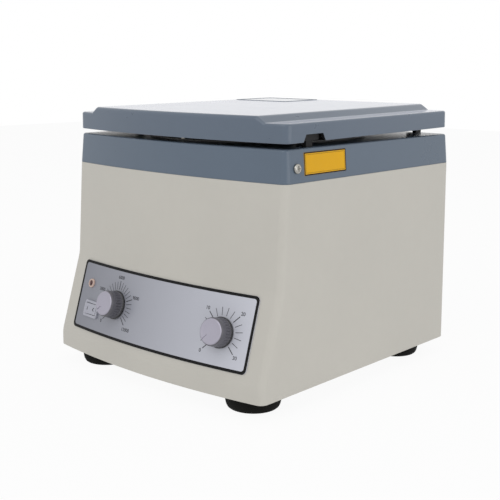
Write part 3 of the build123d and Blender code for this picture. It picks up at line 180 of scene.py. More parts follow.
class Kit:
    """Shader groups that several finishes share. Each is built on first use and then kept."""

    groups: dict[str, bpy.types.NodeTree] = {}

    @classmethod
    def start(cls, name: str, inputs: dict[str, float | tuple], output: str):
        """Open a new group with named sockets.

        Args:
            name: the group's name.
            inputs: socket name to its default, a number or a vector.
            output: name of the value socket that it puts out.

        Returns:
            The group's tree, its input node and its output node.
        """
        tree = bpy.data.node_groups.new(name, "ShaderNodeTree")
        for socket_name, value in inputs.items():
            kind = "NodeSocketVector" if isinstance(value, tuple) else "NodeSocketFloat"
            socket = tree.interface.new_socket(name=socket_name, in_out="INPUT", socket_type=kind)
            socket.default_value = value
        tree.interface.new_socket(name=output, in_out="OUTPUT", socket_type="NodeSocketFloat")
        cls.groups[name] = tree
        return tree, tree.nodes.new("NodeGroupInput"), tree.nodes.new("NodeGroupOutput")

    @classmethod
    def place(cls, tree: bpy.types.NodeTree, maker, **values) -> bpy.types.Node:
        """Place a group in a material's tree with its own values.

        Args:
            tree: the material's tree.
            maker: the method of this class that builds the group.
            values: input name, with underscores for spaces, to a constant or an output socket.

        Returns:
            The group node.
        """
        group = cls.groups.get(maker.__name__) or maker()
        made = tree.nodes.new("ShaderNodeGroup")
        made.node_tree = group
        for key, value in values.items():
            socket = made.inputs[key.replace("_", " ")]
            if isinstance(value, bpy.types.NodeSocket):
                tree.links.new(value, socket)
            else:
                socket.default_value = value
        return made

    @classmethod
    def cloud_tint(cls) -> bpy.types.NodeTree:
        """Broad uneven tone: two octaves of soft noise, as paint and plastic age unevenly."""
        inputs = {"Vector": ORIGIN, "Scale": 12.0}
        tree, source, result = cls.start("cloud_tint", inputs, "Tone")
        place, scale = source.outputs["Vector"], source.outputs["Scale"]
        finer = noise(tree, place, math_node(tree, "MULTIPLY", scale, 9.0), 3.0)
        both = math_node(tree, "MULTIPLY_ADD", noise(tree, place, scale, 2.0), 0.7)
        tree.links.new(math_node(tree, "MULTIPLY", finer, 0.3), both.node.inputs[2])
        tree.links.new(spread(tree, both, 0.0, 1.0, 0.3, 0.7), result.inputs["Tone"])
        return tree

    @classmethod
    def paint_peel(cls) -> bpy.types.NodeTree:
        """Orange peel of a sprayed coat: rounded cells with a finer grain over them."""
        inputs = {"Vector": ORIGIN, "Scale": 600.0}
        tree, source, result = cls.start("paint_peel", inputs, "Height")
        place, scale = source.outputs["Vector"], source.outputs["Scale"]
        cells = node(tree, "ShaderNodeTexVoronoi", {"Vector": place, "Scale": scale}, feature="SMOOTH_F1")
        grain = noise(tree, place, math_node(tree, "MULTIPLY", scale, 2.6), 2.0)
        height = math_node(tree, "MULTIPLY_ADD", cells.outputs["Distance"], -0.6)
        tree.links.new(grain, height.node.inputs[2])
        tree.links.new(height, result.inputs["Height"])
        return tree

    @classmethod
    def mould_texture(cls) -> bpy.types.NodeTree:
        """Fine spark-eroded grain of moulded plastic or rubber, with a slow wave under it."""
        inputs = {"Vector": ORIGIN, "Scale": 1400.0}
        tree, source, result = cls.start("mould_texture", inputs, "Height")
        place, scale = source.outputs["Vector"], source.outputs["Scale"]
        grain = noise(tree, place, scale, 4.0)
        wave = noise(tree, place, math_node(tree, "MULTIPLY", scale, 0.06), 1.0)
        height = math_node(tree, "MULTIPLY_ADD", wave, 0.8)
        tree.links.new(grain, height.node.inputs[2])
        tree.links.new(height, result.inputs["Height"])
        return tree

    @classmethod
    def brush_lines(cls) -> bpy.types.NodeTree:
        """Straight brushed lines: noise stretched along one axis by the Stretch vector."""
        inputs = {"Vector": ORIGIN, "Stretch": (20.0, 1500.0, 1500.0)}
        tree, source, result = cls.start("brush_lines", inputs, "Height")
        drawn = vector_math(tree, "MULTIPLY", source.outputs["Vector"], source.outputs["Stretch"]).outputs[0]
        tree.links.new(noise(tree, drawn, 1.0, 3.0), result.inputs["Height"])
        return tree

    @classmethod
    def turning_rings(cls) -> bpy.types.NodeTree:
        """Rings of a turned or spun face: noise along the distance from an axis line.

        The distance is the length of the cross product of (point - Centre) and the unit Axis.
        """
        inputs = {"Vector": ORIGIN, "Centre": ORIGIN, "Axis": (0, 0, 1), "Scale": 1500.0}
        tree, source, result = cls.start("turning_rings", inputs, "Height")
        axis = source.outputs["Axis"]
        arm = vector_math(tree, "SUBTRACT", source.outputs["Vector"], source.outputs["Centre"]).outputs[0]
        across = vector_math(tree, "CROSS_PRODUCT", arm, axis).outputs[0]
        radius = vector_math(tree, "LENGTH", across).outputs["Value"]
        depth = vector_math(tree, "DOT_PRODUCT", arm, axis).outputs["Value"]
        along = math_node(tree, "ADD", radius, depth)
        rings = node(
            tree,
            "ShaderNodeTexNoise",
            {"W": along, "Scale": source.outputs["Scale"], "Detail": 4.0},
            noise_dimensions="1D",
        )
        tree.links.new(rings.outputs[0], result.inputs["Height"])
        return tree

    @classmethod
    def edge_wear(cls) -> bpy.types.NodeTree:
        """Where edges are rubbed: the bevelled normal leaves the plain one at an edge, broken up by noise."""
        inputs = {"Vector": ORIGIN, "Radius": 0.0006, "Amount": 0.5}
        tree, source, result = cls.start("edge_wear", inputs, "Mask")
        rounded = node(tree, "ShaderNodeBevel", {"Radius": source.outputs["Radius"]}, samples=4)
        plain = node(tree, "ShaderNodeNewGeometry")
        agree = vector_math(tree, "DOT_PRODUCT", rounded.outputs[0], plain.outputs["Normal"]).outputs["Value"]
        edge = spread(tree, agree, 1.0, 0.0, 0.82, 0.985)
        broken = spread(tree, noise(tree, source.outputs["Vector"], 160.0, 4.0), 0.0, 1.0, 0.42, 0.62)
        both = math_node(tree, "MULTIPLY", edge, broken)
        mask = math_node(tree, "MULTIPLY", both, source.outputs["Amount"])
        tree.links.new(mask, result.inputs["Mask"])
        return tree

    @classmethod
    def settled_dust(cls) -> bpy.types.NodeTree:
        """Thin dust on faces that look up: the normal's Z, times soft patches and fine specks."""
        inputs = {"Vector": ORIGIN, "Amount": 0.2}
        tree, source, result = cls.start("settled_dust", inputs, "Mask")
        plain = node(tree, "ShaderNodeNewGeometry")
        split = node(tree, "ShaderNodeSeparateXYZ", {0: plain.outputs["Normal"]})
        upward = spread(tree, split.outputs["Z"], 0.0, 1.0, 0.55, 0.95)
        place = source.outputs["Vector"]
        patches = spread(tree, noise(tree, place, 24.0, 5.0), 0.2, 1.0, 0.4, 0.65)
        specks = spread(tree, noise(tree, place, 1800.0, 1.0), 0.3, 1.0, 0.45, 0.65)
        cover = math_node(tree, "MULTIPLY", patches, specks)
        both = math_node(tree, "MULTIPLY", upward, cover)
        mask = math_node(tree, "MULTIPLY", both, source.outputs["Amount"])
        tree.links.new(mask, result.inputs["Mask"])
        return tree

    @classmethod
    def scuff_marks(cls) -> bpy.types.NodeTree:
        """Hairline scuffs: narrow bands of two noises stretched in crossing directions."""
        inputs = {"Vector": ORIGIN, "Amount": 0.5}
        tree, source, result = cls.start("scuff_marks", inputs, "Mask")
        strokes = []
        for stretch, turn in (((16.0, 260.0, 260.0), 0.5), ((240.0, 18.0, 240.0), -0.35)):
            laid = node(
                tree,
                "ShaderNodeMapping",
                {"Vector": source.outputs["Vector"], "Rotation": (turn, turn, turn), "Scale": stretch},
            )
            offset = math_node(tree, "SUBTRACT", noise(tree, laid.outputs[0], 1.0, 2.0), 0.5)
            off = math_node(tree, "ABSOLUTE", offset)
            strokes.append(spread(tree, off, 1.0, 0.0, 0.0, 0.006))
        both = math_node(tree, "MAXIMUM", strokes[0], strokes[1])
        sparse = noise(tree, source.outputs["Vector"], 30.0, 1.0)
        kept = math_node(tree, "MULTIPLY", both, spread(tree, sparse, 0.0, 1.0, 0.5, 0.6))
        tree.links.new(math_node(tree, "MULTIPLY", kept, source.outputs["Amount"]), result.inputs["Mask"])
        return tree


class Grain(Enum):
    """How a finish is textured."""

    PEEL = "sprayed coat"
    MOULD = "moulded grain"
    BRUSHED = "straight brushed lines"
    TURNED = "turned rings"


@dataclass(frozen=True)
class Finish:
    """A surface finish: its colours, gloss, texture and signs of use."""

    name: str
    slot: str
    colour: tuple[float, float, float, float]
    roughness: float = 0.4
    metallic: float = 0.0
    grain: Grain = Grain.MOULD
    grain_scale: float = 1400.0
    grain_depth: float = 0.00003
    grain_strength: float = 0.3
    tint: float = 0.04
    wear: float = 0.4
    wear_colour: tuple[float, float, float, float] = (0.7, 0.7, 0.7, 1.0)
    dust: float = 0.12
    scuffs: float = 0.3
    coat: float = 0.0
    coat_straight: float = 1.0
    sheen: float = 0.0
    specular: float = 0.5
    stretch: tuple[float, float, float] = (20.0, 1500.0, 1500.0)
    centre: tuple[float, float, float] = ORIGIN
    axis: tuple[float, float, float] = (0.0, 0.0, 1.0)

    @property
    def label(self) -> str:
        """Name of the built material, apart from the plain one that the CAD nodes come with."""
        return f"finish_{self.name}"

    def metal(self, tree: bpy.types.NodeTree, place):
        """How metallic the surface is: the same everywhere, unless a finish says otherwise."""
        return self.metallic

    def coating(self, tree: bpy.types.NodeTree):
        """Coat weight, which falls to a share of itself where the surface is seen straight on."""
        facing = node(tree, "ShaderNodeLayerWeight", {"Blend": 0.5}).outputs["Facing"]
        return spread(tree, facing, self.coat * self.coat_straight, self.coat, 0.6, 0.88)

    def texture(self, tree: bpy.types.NodeTree, place):
        """Place this finish's texture group and return its height socket."""
        if self.grain is Grain.PEEL:
            return Kit.place(tree, Kit.paint_peel, Vector=place, Scale=self.grain_scale).outputs[0]
        if self.grain is Grain.BRUSHED:
            return Kit.place(tree, Kit.brush_lines, Vector=place, Stretch=self.stretch).outputs[0]
        if self.grain is Grain.TURNED:
            rings = Kit.place(
                tree,
                Kit.turning_rings,
                Vector=place,
                Centre=self.centre,
                Axis=self.axis,
                Scale=self.grain_scale,
            )
            return rings.outputs[0]
        return Kit.place(tree, Kit.mould_texture, Vector=place, Scale=self.grain_scale).outputs[0]

    def base(self, tree: bpy.types.NodeTree, place, tone):
        """Colour before wear and dust: the finish's colour a little darker and lighter by the tone."""
        return mix_colour(tree, tone, scaled(self.colour, 1 - self.tint), scaled(self.colour, 1 + self.tint))

    def material(self) -> bpy.types.Material:
        """Build the material once.

        Returns:
            The material with a Principled shader whose colour, roughness and normal vary by the groups.
        """
        known = bpy.data.materials.get(self.label)
        if known:
            return known
        made, tree = blank_material(self.label)
        place = node(tree, "ShaderNodeTexCoord").outputs["Object"]
        tone = Kit.place(tree, Kit.cloud_tint, Vector=place, Scale=12.0).outputs[0]
        height = self.texture(tree, place)
        worn = Kit.place(tree, Kit.edge_wear, Vector=place, Amount=self.wear).outputs[0]
        dust = Kit.place(tree, Kit.settled_dust, Vector=place, Amount=self.dust).outputs[0]
        scuff = Kit.place(tree, Kit.scuff_marks, Vector=place, Amount=self.scuffs).outputs[0]
        colour = self.base(tree, place, tone)
        if self.metallic > 0.5:
            lines = spread(tree, height, 0.0, 0.35, 0.35, 0.65)
            colour = mix_colour(tree, lines, colour, scaled(self.colour, 0.7))
        colour = mix_colour(tree, worn, colour, self.wear_colour)
        colour = mix_colour(tree, dust, colour, DUST_COLOUR)
        rough = spread(tree, tone, self.roughness * 0.88, min(self.roughness * 1.14, 1.0))
        rough = math_node(tree, "ADD", rough, math_node(tree, "MULTIPLY", scuff, 0.2), clamp=True)
        rough = math_node(tree, "ADD", rough, math_node(tree, "MULTIPLY", dust, 0.3), clamp=True)
        bump = node(
            tree,
            "ShaderNodeBump",
            {"Strength": self.grain_strength, "Distance": self.grain_depth, "Height": height},
        )
        sockets = {
            "Base Color": colour,
            "Roughness": rough,
            "Metallic": self.metal(tree, place),
            "Specular IOR Level": self.specular,
            "Coat Weight": self.coating(tree),
            "Coat Roughness": 0.12,
            "Sheen Weight": self.sheen,
            "Sheen Roughness": 0.3,
            "Sheen Tint": SHEEN_TINT,
            "Normal": bump.outputs[0],
        }
        shader = node(tree, "ShaderNodeBsdfPrincipled", sockets)
        node(tree, "ShaderNodeOutputMaterial", {"Surface": shader.outputs[0]})
        return made


@dataclass(frozen=True)
class FilmFinish(Finish):
    """Silver film of the control panel: darker at its left end as painted shade, with a faint vertical
    drawing.
    """

    left: float = -110.0
    right: float = 110.0
    # Darker colour of the left end: painted shade.
    left_colour: tuple[float, float, float, float] = field(default_factory=lambda: linear(114, 116, 127))

    def base(self, tree: bpy.types.NodeTree, place, tone):
        """Blend from the painted shade of the left end to the right colour across the panel, then shade by
        the tone.
        """
        split = node(tree, "ShaderNodeSeparateXYZ", {0: place})
        across = spread(tree, split.outputs["X"], 0.0, 1.0, self.left * MM, self.right * MM)
        colour = mix_colour(tree, across, self.left_colour, self.colour)
        shade_share = math_node(tree, "MULTIPLY", tone, self.tint)
        return mix_colour(tree, shade_share, colour, scaled(self.colour, 0.8))


@dataclass(frozen=True)
class BowlFinish(Finish):
    """Spun metal of the chamber with its flat rim dark from a radius outwards, as painted shade of the gap
    under the lid.
    """

    rim_radius: float = 0.0925
    # Near-black of the rim: painted shade of the gap under the lid.
    rim_colour: tuple[float, float, float, float] = field(default_factory=lambda: linear(20, 21, 23))

    def on_rim(self, tree: bpy.types.NodeTree, place):
        """Mask of the rim: 1 where the distance from the upright axis is over the rim's radius."""
        arm = vector_math(tree, "SUBTRACT", place, self.centre).outputs[0]
        flat = vector_math(tree, "MULTIPLY", arm, (1.0, 1.0, 0.0)).outputs[0]
        radius = vector_math(tree, "LENGTH", flat).outputs["Value"]
        return spread(tree, radius, 0.0, 1.0, self.rim_radius, self.rim_radius + 0.0002)

    def metal(self, tree: bpy.types.NodeTree, place):
        """Metallic inside the bowl and not metallic on the rim of painted shade."""
        return spread(tree, self.on_rim(tree, place), self.metallic, 0.0)

    def base(self, tree: bpy.types.NodeTree, place, tone):
        """The metal's toned colour, and the painted shade's dark colour on the rim."""
        return mix_colour(tree, self.on_rim(tree, place), super().base(tree, place, tone), self.rim_colour)


@dataclass(frozen=True)
class LensFinish(Finish):
    """Clear dark red lens of the pilot lamp."""

    def material(self) -> bpy.types.Material:
        """Build the lens material: coloured transmission with faint moulding marks."""
        made, tree = blank_material(self.label)
        place = node(tree, "ShaderNodeTexCoord").outputs["Object"]
        tone = Kit.place(tree, Kit.cloud_tint, Vector=place, Scale=500.0).outputs[0]
        height = Kit.place(tree, Kit.mould_texture, Vector=place, Scale=2500.0).outputs[0]
        bump = node(tree, "ShaderNodeBump", {"Strength": 0.15, "Distance": 0.00002, "Height": height})
        sockets = {
            "Base Color": mix_colour(tree, tone, self.colour, scaled(self.colour, 1.6)),
            "Roughness": spread(tree, tone, self.roughness * 0.8, self.roughness * 1.3),
            "Transmission Weight": 0.45,
            "IOR": 1.49,
            "Normal": bump.outputs[0],
        }
        shader = node(tree, "ShaderNodeBsdfPrincipled", sockets)
        node(tree, "ShaderNodeOutputMaterial", {"Surface": shader.outputs[0]})
        return made


# Mesh helpers


def object_of(name: str, mesh: bpy.types.Mesh) -> bpy.types.Object:
    """Put a mesh into the scene as an object at the origin."""
    made = bpy.data.objects.new(name, mesh)
    bpy.context.scene.collection.objects.link(made)
    return made


def grid_faces(rows: int, columns: int, wrap_rows: bool, wrap_columns: bool, first: int = 0) -> np.ndarray:
    """Corner numbers of the quads of a grid whose points are stored row by row.

    Args:
        rows: number of rows of points.
        columns: number of points in a row.
        wrap_rows: whether the last row joins the first.
        wrap_columns: whether the last column joins the first.
        first: number of the grid's first point.

    Returns:
        An array of shape (quads, 4).
    """
    row = np.arange(rows if wrap_rows else rows - 1)[:, None]
    column = np.arange(columns if wrap_columns else columns - 1)[None, :]
    below, beside = (row + 1) % rows, (column + 1) % columns
    here, under = row * columns, below * columns
    quads = (here + column, here + beside, under + beside, under + column)
    return np.stack(quads, axis=-1).reshape(-1, 4) + first


def surface(
    name: str, grids: Sequence[tuple[np.ndarray, bool, bool]], smooth: float = 35.0
) -> bpy.types.Object:
    """Make one closed mesh of several point grids, merged where their points meet.

    Args:
        name: the object's name.
        grids: each an array (rows, columns, 3) in millimetres, with whether its rows and columns wrap.
        smooth: edges that turn by more than this many degrees stay sharp.

    Returns:
        The object, its normals outwards.
    """
    points, quads, count = [], [], 0
    for grid, wrap_rows, wrap_columns in grids:
        rows, columns = grid.shape[:2]
        quads.append(grid_faces(rows, columns, wrap_rows, wrap_columns, count))
        points.append(grid.reshape(-1, 3) * MM)
        count += rows * columns
    corners = np.concatenate(points).astype(np.float32)
    faces = np.concatenate(quads).astype(np.int32)
    mesh = bpy.data.meshes.new(name)
    mesh.vertices.add(len(corners))
    mesh.vertices.foreach_set("co", corners.ravel())
    mesh.loops.add(faces.size)
    mesh.loops.foreach_set("vertex_index", faces.ravel())
    mesh.polygons.add(len(faces))
    mesh.polygons.foreach_set("loop_start", np.arange(0, faces.size, 4, dtype=np.int32))
    mesh.update(calc_edges=True)
    close_mesh(mesh)
    shade(mesh, smooth)
    return object_of(name, mesh)


def close_mesh(mesh: bpy.types.Mesh) -> None:
    """Merge points that meet, drop faces without area, fill holes that are left and turn faces outwards."""
    work = bmesh.new()
    work.from_mesh(mesh)
    bmesh.ops.remove_doubles(work, verts=work.verts, dist=2e-6)
    bmesh.ops.dissolve_degenerate(work, edges=work.edges, dist=1e-7)
    rims = [edge for edge in work.edges if edge.is_boundary]
    if rims:
        bmesh.ops.holes_fill(work, edges=rims, sides=0)
    bmesh.ops.recalc_face_normals(work, faces=work.faces)
    work.to_mesh(mesh)
    work.free()


def shade(mesh: bpy.types.Mesh, angle: float) -> None:
    """Shade a mesh smooth, with edges sharper than the angle in degrees left sharp."""
    mesh.polygons.foreach_set("use_smooth", np.ones(len(mesh.polygons), dtype=bool))
    mesh.set_sharp_from_angle(angle=math.radians(angle))


def at_level(outline: np.ndarray, height: float) -> np.ndarray:
    """Lift a flat outline (n, 2) to one height, as points (n, 3)."""
    return np.column_stack((outline, np.full(len(outline), height)))


def frame_of(origin: Sequence[float], axes: Sequence[Sequence[float]] = UPRIGHT) -> np.ndarray:
    """Make a frame's 4 by 4 matrix of its origin and its X, Y and Z axes."""
    frame = np.eye(4)
    frame[:3, :3] = np.transpose(axes)
    frame[:3, 3] = origin
    return frame


def prism(name: str, outline: np.ndarray, low: float, high: float, frame: np.ndarray) -> bpy.types.Object:
    """Straight prism on a flat outline.

    Args:
        name: the object's name.
        outline: points (n, 2) in the frame's own X and Y, in millimetres.
        low: start along the frame's Z.
        high: end along the frame's Z.
        frame: 4 by 4 matrix of the frame, in millimetres.

    Returns:
        The closed prism.
    """
    ring = np.stack([at_level(outline, level) for level in (low, high)])
    return surface(name, [(placed(ring, frame), False, True)], smooth=30.0)


def placed(points: np.ndarray, frame: np.ndarray) -> np.ndarray:
    """Carry points of any shape (..., 3) from a frame's own axes into the model's axes."""
    return points @ frame[:3, :3].T + frame[:3, 3]


def circle(radius: float, count: int = 40, centre: tuple[float, float] = (0.0, 0.0)) -> np.ndarray:
    """Points of a circle: centre + radius * (cos t, sin t)."""
    turn = np.linspace(0, 2 * np.pi, count, endpoint=False)
    return np.column_stack((centre[0] + radius * np.cos(turn), centre[1] + radius * np.sin(turn)))


def rounded_box(width: float, height: float, corner: float, count: int = 8) -> np.ndarray:
    """Points of a rectangle with round corners: four quarter circles joined by straight runs."""
    quarter = np.linspace(0, np.pi / 2, count)
    starts = np.array((0, 1, 2, 3))[:, None] * np.pi / 2
    turn = quarter[None, :] + starts
    signs = np.array(((1, 1), (-1, 1), (-1, -1), (1, -1)))
    across = signs[:, :1] * (width / 2 - corner) + corner * np.cos(turn)
    up = signs[:, 1:] * (height / 2 - corner) + corner * np.sin(turn)
    return np.column_stack((across.ravel(), up.ravel()))


def turned(
    name: str,
    profile: Sequence[tuple[float, float]],
    frame: np.ndarray,
    count: int = 64,
    smooth: float = 35.0,
) -> bpy.types.Object:
    """Turn a profile round the frame's Z axis.

    Each profile point (r, h) becomes the ring (r cos t, r sin t, h).

    Args:
        name: the object's name.
        profile: radius and height pairs in millimetres, a closed loop or one that ends on the axis.
        frame: 4 by 4 matrix of the frame, in millimetres.
        count: points round the axis.
        smooth: angle above which edges stay sharp, in degrees.

    Returns:
        The turned object.
    """
    radius, height = np.array(profile).T
    turn = np.linspace(0, 2 * np.pi, count, endpoint=False)
    ring = np.stack(
        (
            radius[:, None] * np.cos(turn),
            radius[:, None] * np.sin(turn),
            np.repeat(height[:, None], count, axis=1),
        ),
        axis=-1,
    )
    closed = radius[0] > 0 and radius[-1] > 0
    return surface(name, [(placed(ring, frame), closed, True)], smooth)


def joined(name: str, pieces: Sequence[bpy.types.Object]) -> bpy.types.Object:
    """Join several objects into one mesh and remove them."""
    work = bmesh.new()
    for piece in pieces:
        work.from_mesh(piece.data)
        bpy.data.objects.remove(piece)
    mesh = bpy.data.meshes.new(name)
    work.to_mesh(mesh)
    work.free()
    return object_of(name, mesh)


def cut(target: bpy.types.Object, cutter: bpy.types.Object, smooth: float = 35.0) -> None:
    """Take the cutter's volume out of the target and remove the cutter."""
    change = target.modifiers.new("cut", "BOOLEAN")
    change.operation, change.solver, change.object = "DIFFERENCE", "EXACT", cutter
    evaluated = target.evaluated_get(bpy.context.evaluated_depsgraph_get())
    mesh = bpy.data.meshes.new_from_object(evaluated)
    target.modifiers.clear()
    target.data = mesh
    bpy.data.objects.remove(cutter)
    shade(mesh, smooth)


def flatten_shading(target: bpy.types.Object) -> None:
    """Weight the normals by face size, so that flat walls shade flat next to their round corners."""
    change = target.modifiers.new("weighted", "WEIGHTED_NORMAL")
    change.keep_sharp = True
    change.weight = 100


def dress(target: bpy.types.Object, *finishes: Finish) -> None:
    """Give an object its finishes in order."""
    target.data.materials.clear()
    for finish in finishes:
        target.data.materials.append(finish.material())


def soft_ramp(value: np.ndarray, reach: float) -> np.ndarray:
    """Zero below -reach, the value itself above reach, and (value + reach)^2 / (4 reach) between."""
    middle = (value + reach) ** 2 / (4 * reach)
    return np.where(value < -reach, 0.0, np.where(value > reach, value, middle))


# Shared form of the cabinet


@dataclass(frozen=True)
class Form:
    """Heights and plan sizes that the cabinet, deck, lid and panel share."""

    rear: float
    half: float = 130.0
    depth: float = 248.6
    bow: float = 11.5
    corner: float = 7.5
    bottom: float = 15.0
    lip: float = 29.0
    knee: float = 101.8
    seam: float = 189.7
    deck: float = 217.4
    run: float = 21.8
    lean: float = 4.5
    rotor_back: float = -12.4

    @property
    def front(self) -> float:
        """Y of the cabinet's front corners at the deck."""
        return self.rear - self.depth

    @property
    def middle(self) -> float:
        """Y half way between the front corners and the rear wall."""
        return self.rear - self.depth / 2

    @property
    def rise(self) -> float:
        """Height of the slanted front."""
        return self.knee - self.lip

    @property
    def bow_radius(self) -> float:
        """Radius of the bowed front: (half^2 + bow^2) / (2 bow)."""
        return (self.half**2 + self.bow**2) / (2 * self.bow)

    @property
    def rotor_y(self) -> float:
        """Y of the rotor's axis."""
        return self.middle + self.rotor_back

    def forward(self, level: np.ndarray) -> np.ndarray:
        """How far the front stands forward at a height: three straight runs with soft bends between them."""
        slant = -self.run / self.rise
        upper = -self.lean / (self.seam - self.knee)
        lip_turn = slant * soft_ramp(level - self.lip, 3.0)
        return self.run + self.lean + lip_turn + (upper - slant) * soft_ramp(level - self.knee, 4.0)

    def rings(
        self,
        inset: np.ndarray,
        forward: np.ndarray,
        corner: float | None = None,
    ) -> np.ndarray:
        """Plan outlines: bowed front, straight sides and back, round corners, counter-clockwise from above.

        The front is a circle of the bow radius, and each corner is a circle that touches its two sides.

        Args:
            inset: inward offset of each ring.
            forward: how far each ring's front stands forward.
            corner: radius of the upright corners, the cabinet's when left out.

        Returns:
            An array (rings, points, 2).
        """
        inset, forward = np.atleast_1d(inset)[:, None], np.atleast_1d(forward)[:, None]
        radius = self.bow_radius - inset
        centre = self.front + math.sqrt(self.bow_radius**2 - self.half**2) - forward
        side, back = self.half - inset, self.rear - inset
        corner = np.maximum((self.corner if corner is None else corner) - inset, 1.0)
        inner = side - corner
        corner_centre = centre - np.sqrt((radius - corner) ** 2 - inner**2)
        lean = np.arcsin(inner / (radius - corner))
        run = lambda count: np.linspace(0, 1, count, endpoint=False)[None, :]
        sweep = -lean + 2 * lean * run(64)
        front = (radius * np.sin(sweep), centre - radius * np.cos(sweep))
        turn = (lean - np.pi / 2) * (1 - run(10))
        right_front = (inner + corner * np.cos(turn), corner_centre + corner * np.sin(turn))
        up = run(20)
        right = (side + 0 * up, corner_centre + (back - corner - corner_centre) * up)
        turn = np.pi / 2 * run(10)
        right_back = (inner + corner * np.cos(turn), back - corner + corner * np.sin(turn))
        rear = (inner - 2 * inner * run(32), back + 0 * run(32))
        left_back = (-inner - corner * np.sin(turn), back - corner + corner * np.cos(turn))
        left = (-side + 0 * up, back - corner + (corner_centre - back + corner) * up)
        turn = (np.pi / 2 - lean) * run(10)
        left_front = (-inner - corner * np.cos(turn), corner_centre - corner * np.sin(turn))
        sides = (front, right_front, right, right_back, rear, left_back, left, left_front)
        return np.stack([np.concatenate([part[axis] for part in sides], axis=1) for axis in (0, 1)], axis=-1)

    def shell(self, profile: Sequence[tuple[float, float]]) -> np.ndarray:
        """Rings of the cabinet for a profile of (height, inset) pairs, as points (rings, points, 3)."""
        level, inset = np.array(profile, dtype=float).T
        plan = self.rings(inset, self.forward(level))
        return np.concatenate((plan, np.repeat(level[:, None, None], plan.shape[1], axis=1)), axis=-1)

    def front_frame(self, across: float, drop: float) -> np.ndarray:
        """Frame on the slanted front, its Z outwards and its X to the right, at a drop below the knee."""
        reach = math.sqrt(self.bow_radius**2 - across**2)
        forward = self.lean + self.run * drop / self.rise
        y = self.front - self.bow + self.bow_radius - reach - forward
        origin = np.array((across, y, self.knee - drop))
        normal = np.array((across / reach, -1.0, self.run / self.rise))
        normal /= np.linalg.norm(normal)
        right = np.array((1.0, across / reach, 0.0))
        right /= np.linalg.norm(right)
        return frame_of(origin, (right, np.cross(normal, right), normal))

    def front_skin(
        self, across: np.ndarray, up: np.ndarray, lift: np.ndarray, middle_drop: float
    ) -> np.ndarray:
        """Points on the slanted bowed front.

        Y is that of the bow circle at X, less the forward stand at that height; the lift goes along the
        normal (x / reach, -1, run / rise).

        Args:
            across: distance from the cabinet's middle.
            up: distance up the slope from the panel's middle.
            lift: height above the surface.
            middle_drop: drop of the panel's middle below the knee.

        Returns:
            Points of shape (..., 3).
        """
        slope = math.atan2(self.run, self.rise)
        level = self.knee - middle_drop + up * math.cos(slope)
        reach = np.sqrt(self.bow_radius**2 - across**2)
        forward = self.lean + self.run * (self.knee - level) / self.rise
        y = self.front - self.bow + self.bow_radius - reach - forward
        slope = np.full_like(reach, self.run / self.rise)
        normal = np.stack((across / reach, -np.ones_like(reach), slope), axis=-1)
        normal /= np.linalg.norm(normal, axis=-1, keepdims=True)
        return np.stack((across, y, level), axis=-1) + normal * np.asarray(lift)[..., None]


# Finishes

CREAM_PAINT = Finish(
    "cream_paint", "cabinet_paint", linear(197, 194, 186),
    roughness=0.5, grain=Grain.PEEL, grain_scale=700.0, grain_depth=0.00008, grain_strength=0.22,
    tint=0.025, wear=0.25, wear_colour=linear(224, 221, 212), dust=0.1,
)
HOOD_PLASTIC = Finish(
    "hood_plastic", "hood_grey", linear(91, 104, 120),
    roughness=0.3, grain_scale=900.0, grain_depth=0.00004, grain_strength=0.12, tint=0.03, wear=0.35,
    wear_colour=linear(158, 166, 178), dust=0.05, scuffs=0.0, coat=1.0, coat_straight=0.15,
    sheen=0.35,
)
DECK_PLASTIC = replace(HOOD_PLASTIC, name="deck_plastic", colour=linear(90, 104, 120), coat=0.2, sheen=0.0)
# Near-black underside and hollow of the lid: painted shade of the gap between lid and deck.
LID_PAINTED_SHADE = replace(
    HOOD_PLASTIC, name="lid_inside_painted_shade", colour=linear(24, 25, 28),
    roughness=0.6, specular=0.15, coat=0.0, sheen=0.0,
)
FOOT_RUBBER = Finish(
    "foot_rubber", "soft_black", linear(11, 11, 9),
    roughness=0.8, grain_scale=1100.0, grain_depth=0.00012, grain_strength=0.5, tint=0.12,
    wear_colour=linear(42, 41, 39), dust=0.03, specular=0.2,
)
SEAL_RUBBER = Finish(
    "seal_rubber", "seal_rubber", linear(13, 13, 14),
    roughness=0.85, grain_scale=1600.0, grain_depth=0.0001, grain_strength=0.4, tint=0.1, wear=0.15,
    wear_colour=linear(40, 40, 40), dust=0.03, specular=0.15,
)
ZINC_STEEL = Finish(
    "zinc_steel", "zinc_steel", linear(196, 197, 194),
    roughness=0.34, metallic=1.0, grain=Grain.BRUSHED, grain_depth=0.00002, grain_strength=0.2,
    tint=0.08, wear=0.25, wear_colour=linear(226, 226, 222), dust=0.06, stretch=(45.0, 900.0, 900.0),
)
SCREW_NICKEL = Finish(
    "screw_nickel", "zinc_steel", linear(178, 176, 170),
    roughness=0.2, metallic=1.0, grain=Grain.BRUSHED, grain_depth=0.00001, grain_strength=0.15,
    tint=0.06, wear_colour=linear(244, 240, 230), dust=0.04, stretch=(900.0, 900.0, 120.0),
)
BLACK_MOULDED = Finish(
    "black_moulded", "moulded_black", linear(24, 24, 26),
    roughness=0.5, grain_scale=1800.0, grain_depth=0.00006, grain_strength=0.35, tint=0.1, wear=0.35,
    wear_colour=linear(70, 70, 72), dust=0.05, specular=0.2,
)
# Lid liner darkened as painted shade of the gap under the lid, over zinc-plated steel.
LINER_PAINTED_SHADE = Finish(
    "liner_painted_shade", "zinc_steel", linear(34, 35, 37),
    roughness=0.55, metallic=0.3, grain=Grain.PEEL, grain_scale=800.0, grain_depth=0.00008, tint=0.1,
    wear=0.3, wear_colour=linear(96, 97, 99), dust=0.08,
)
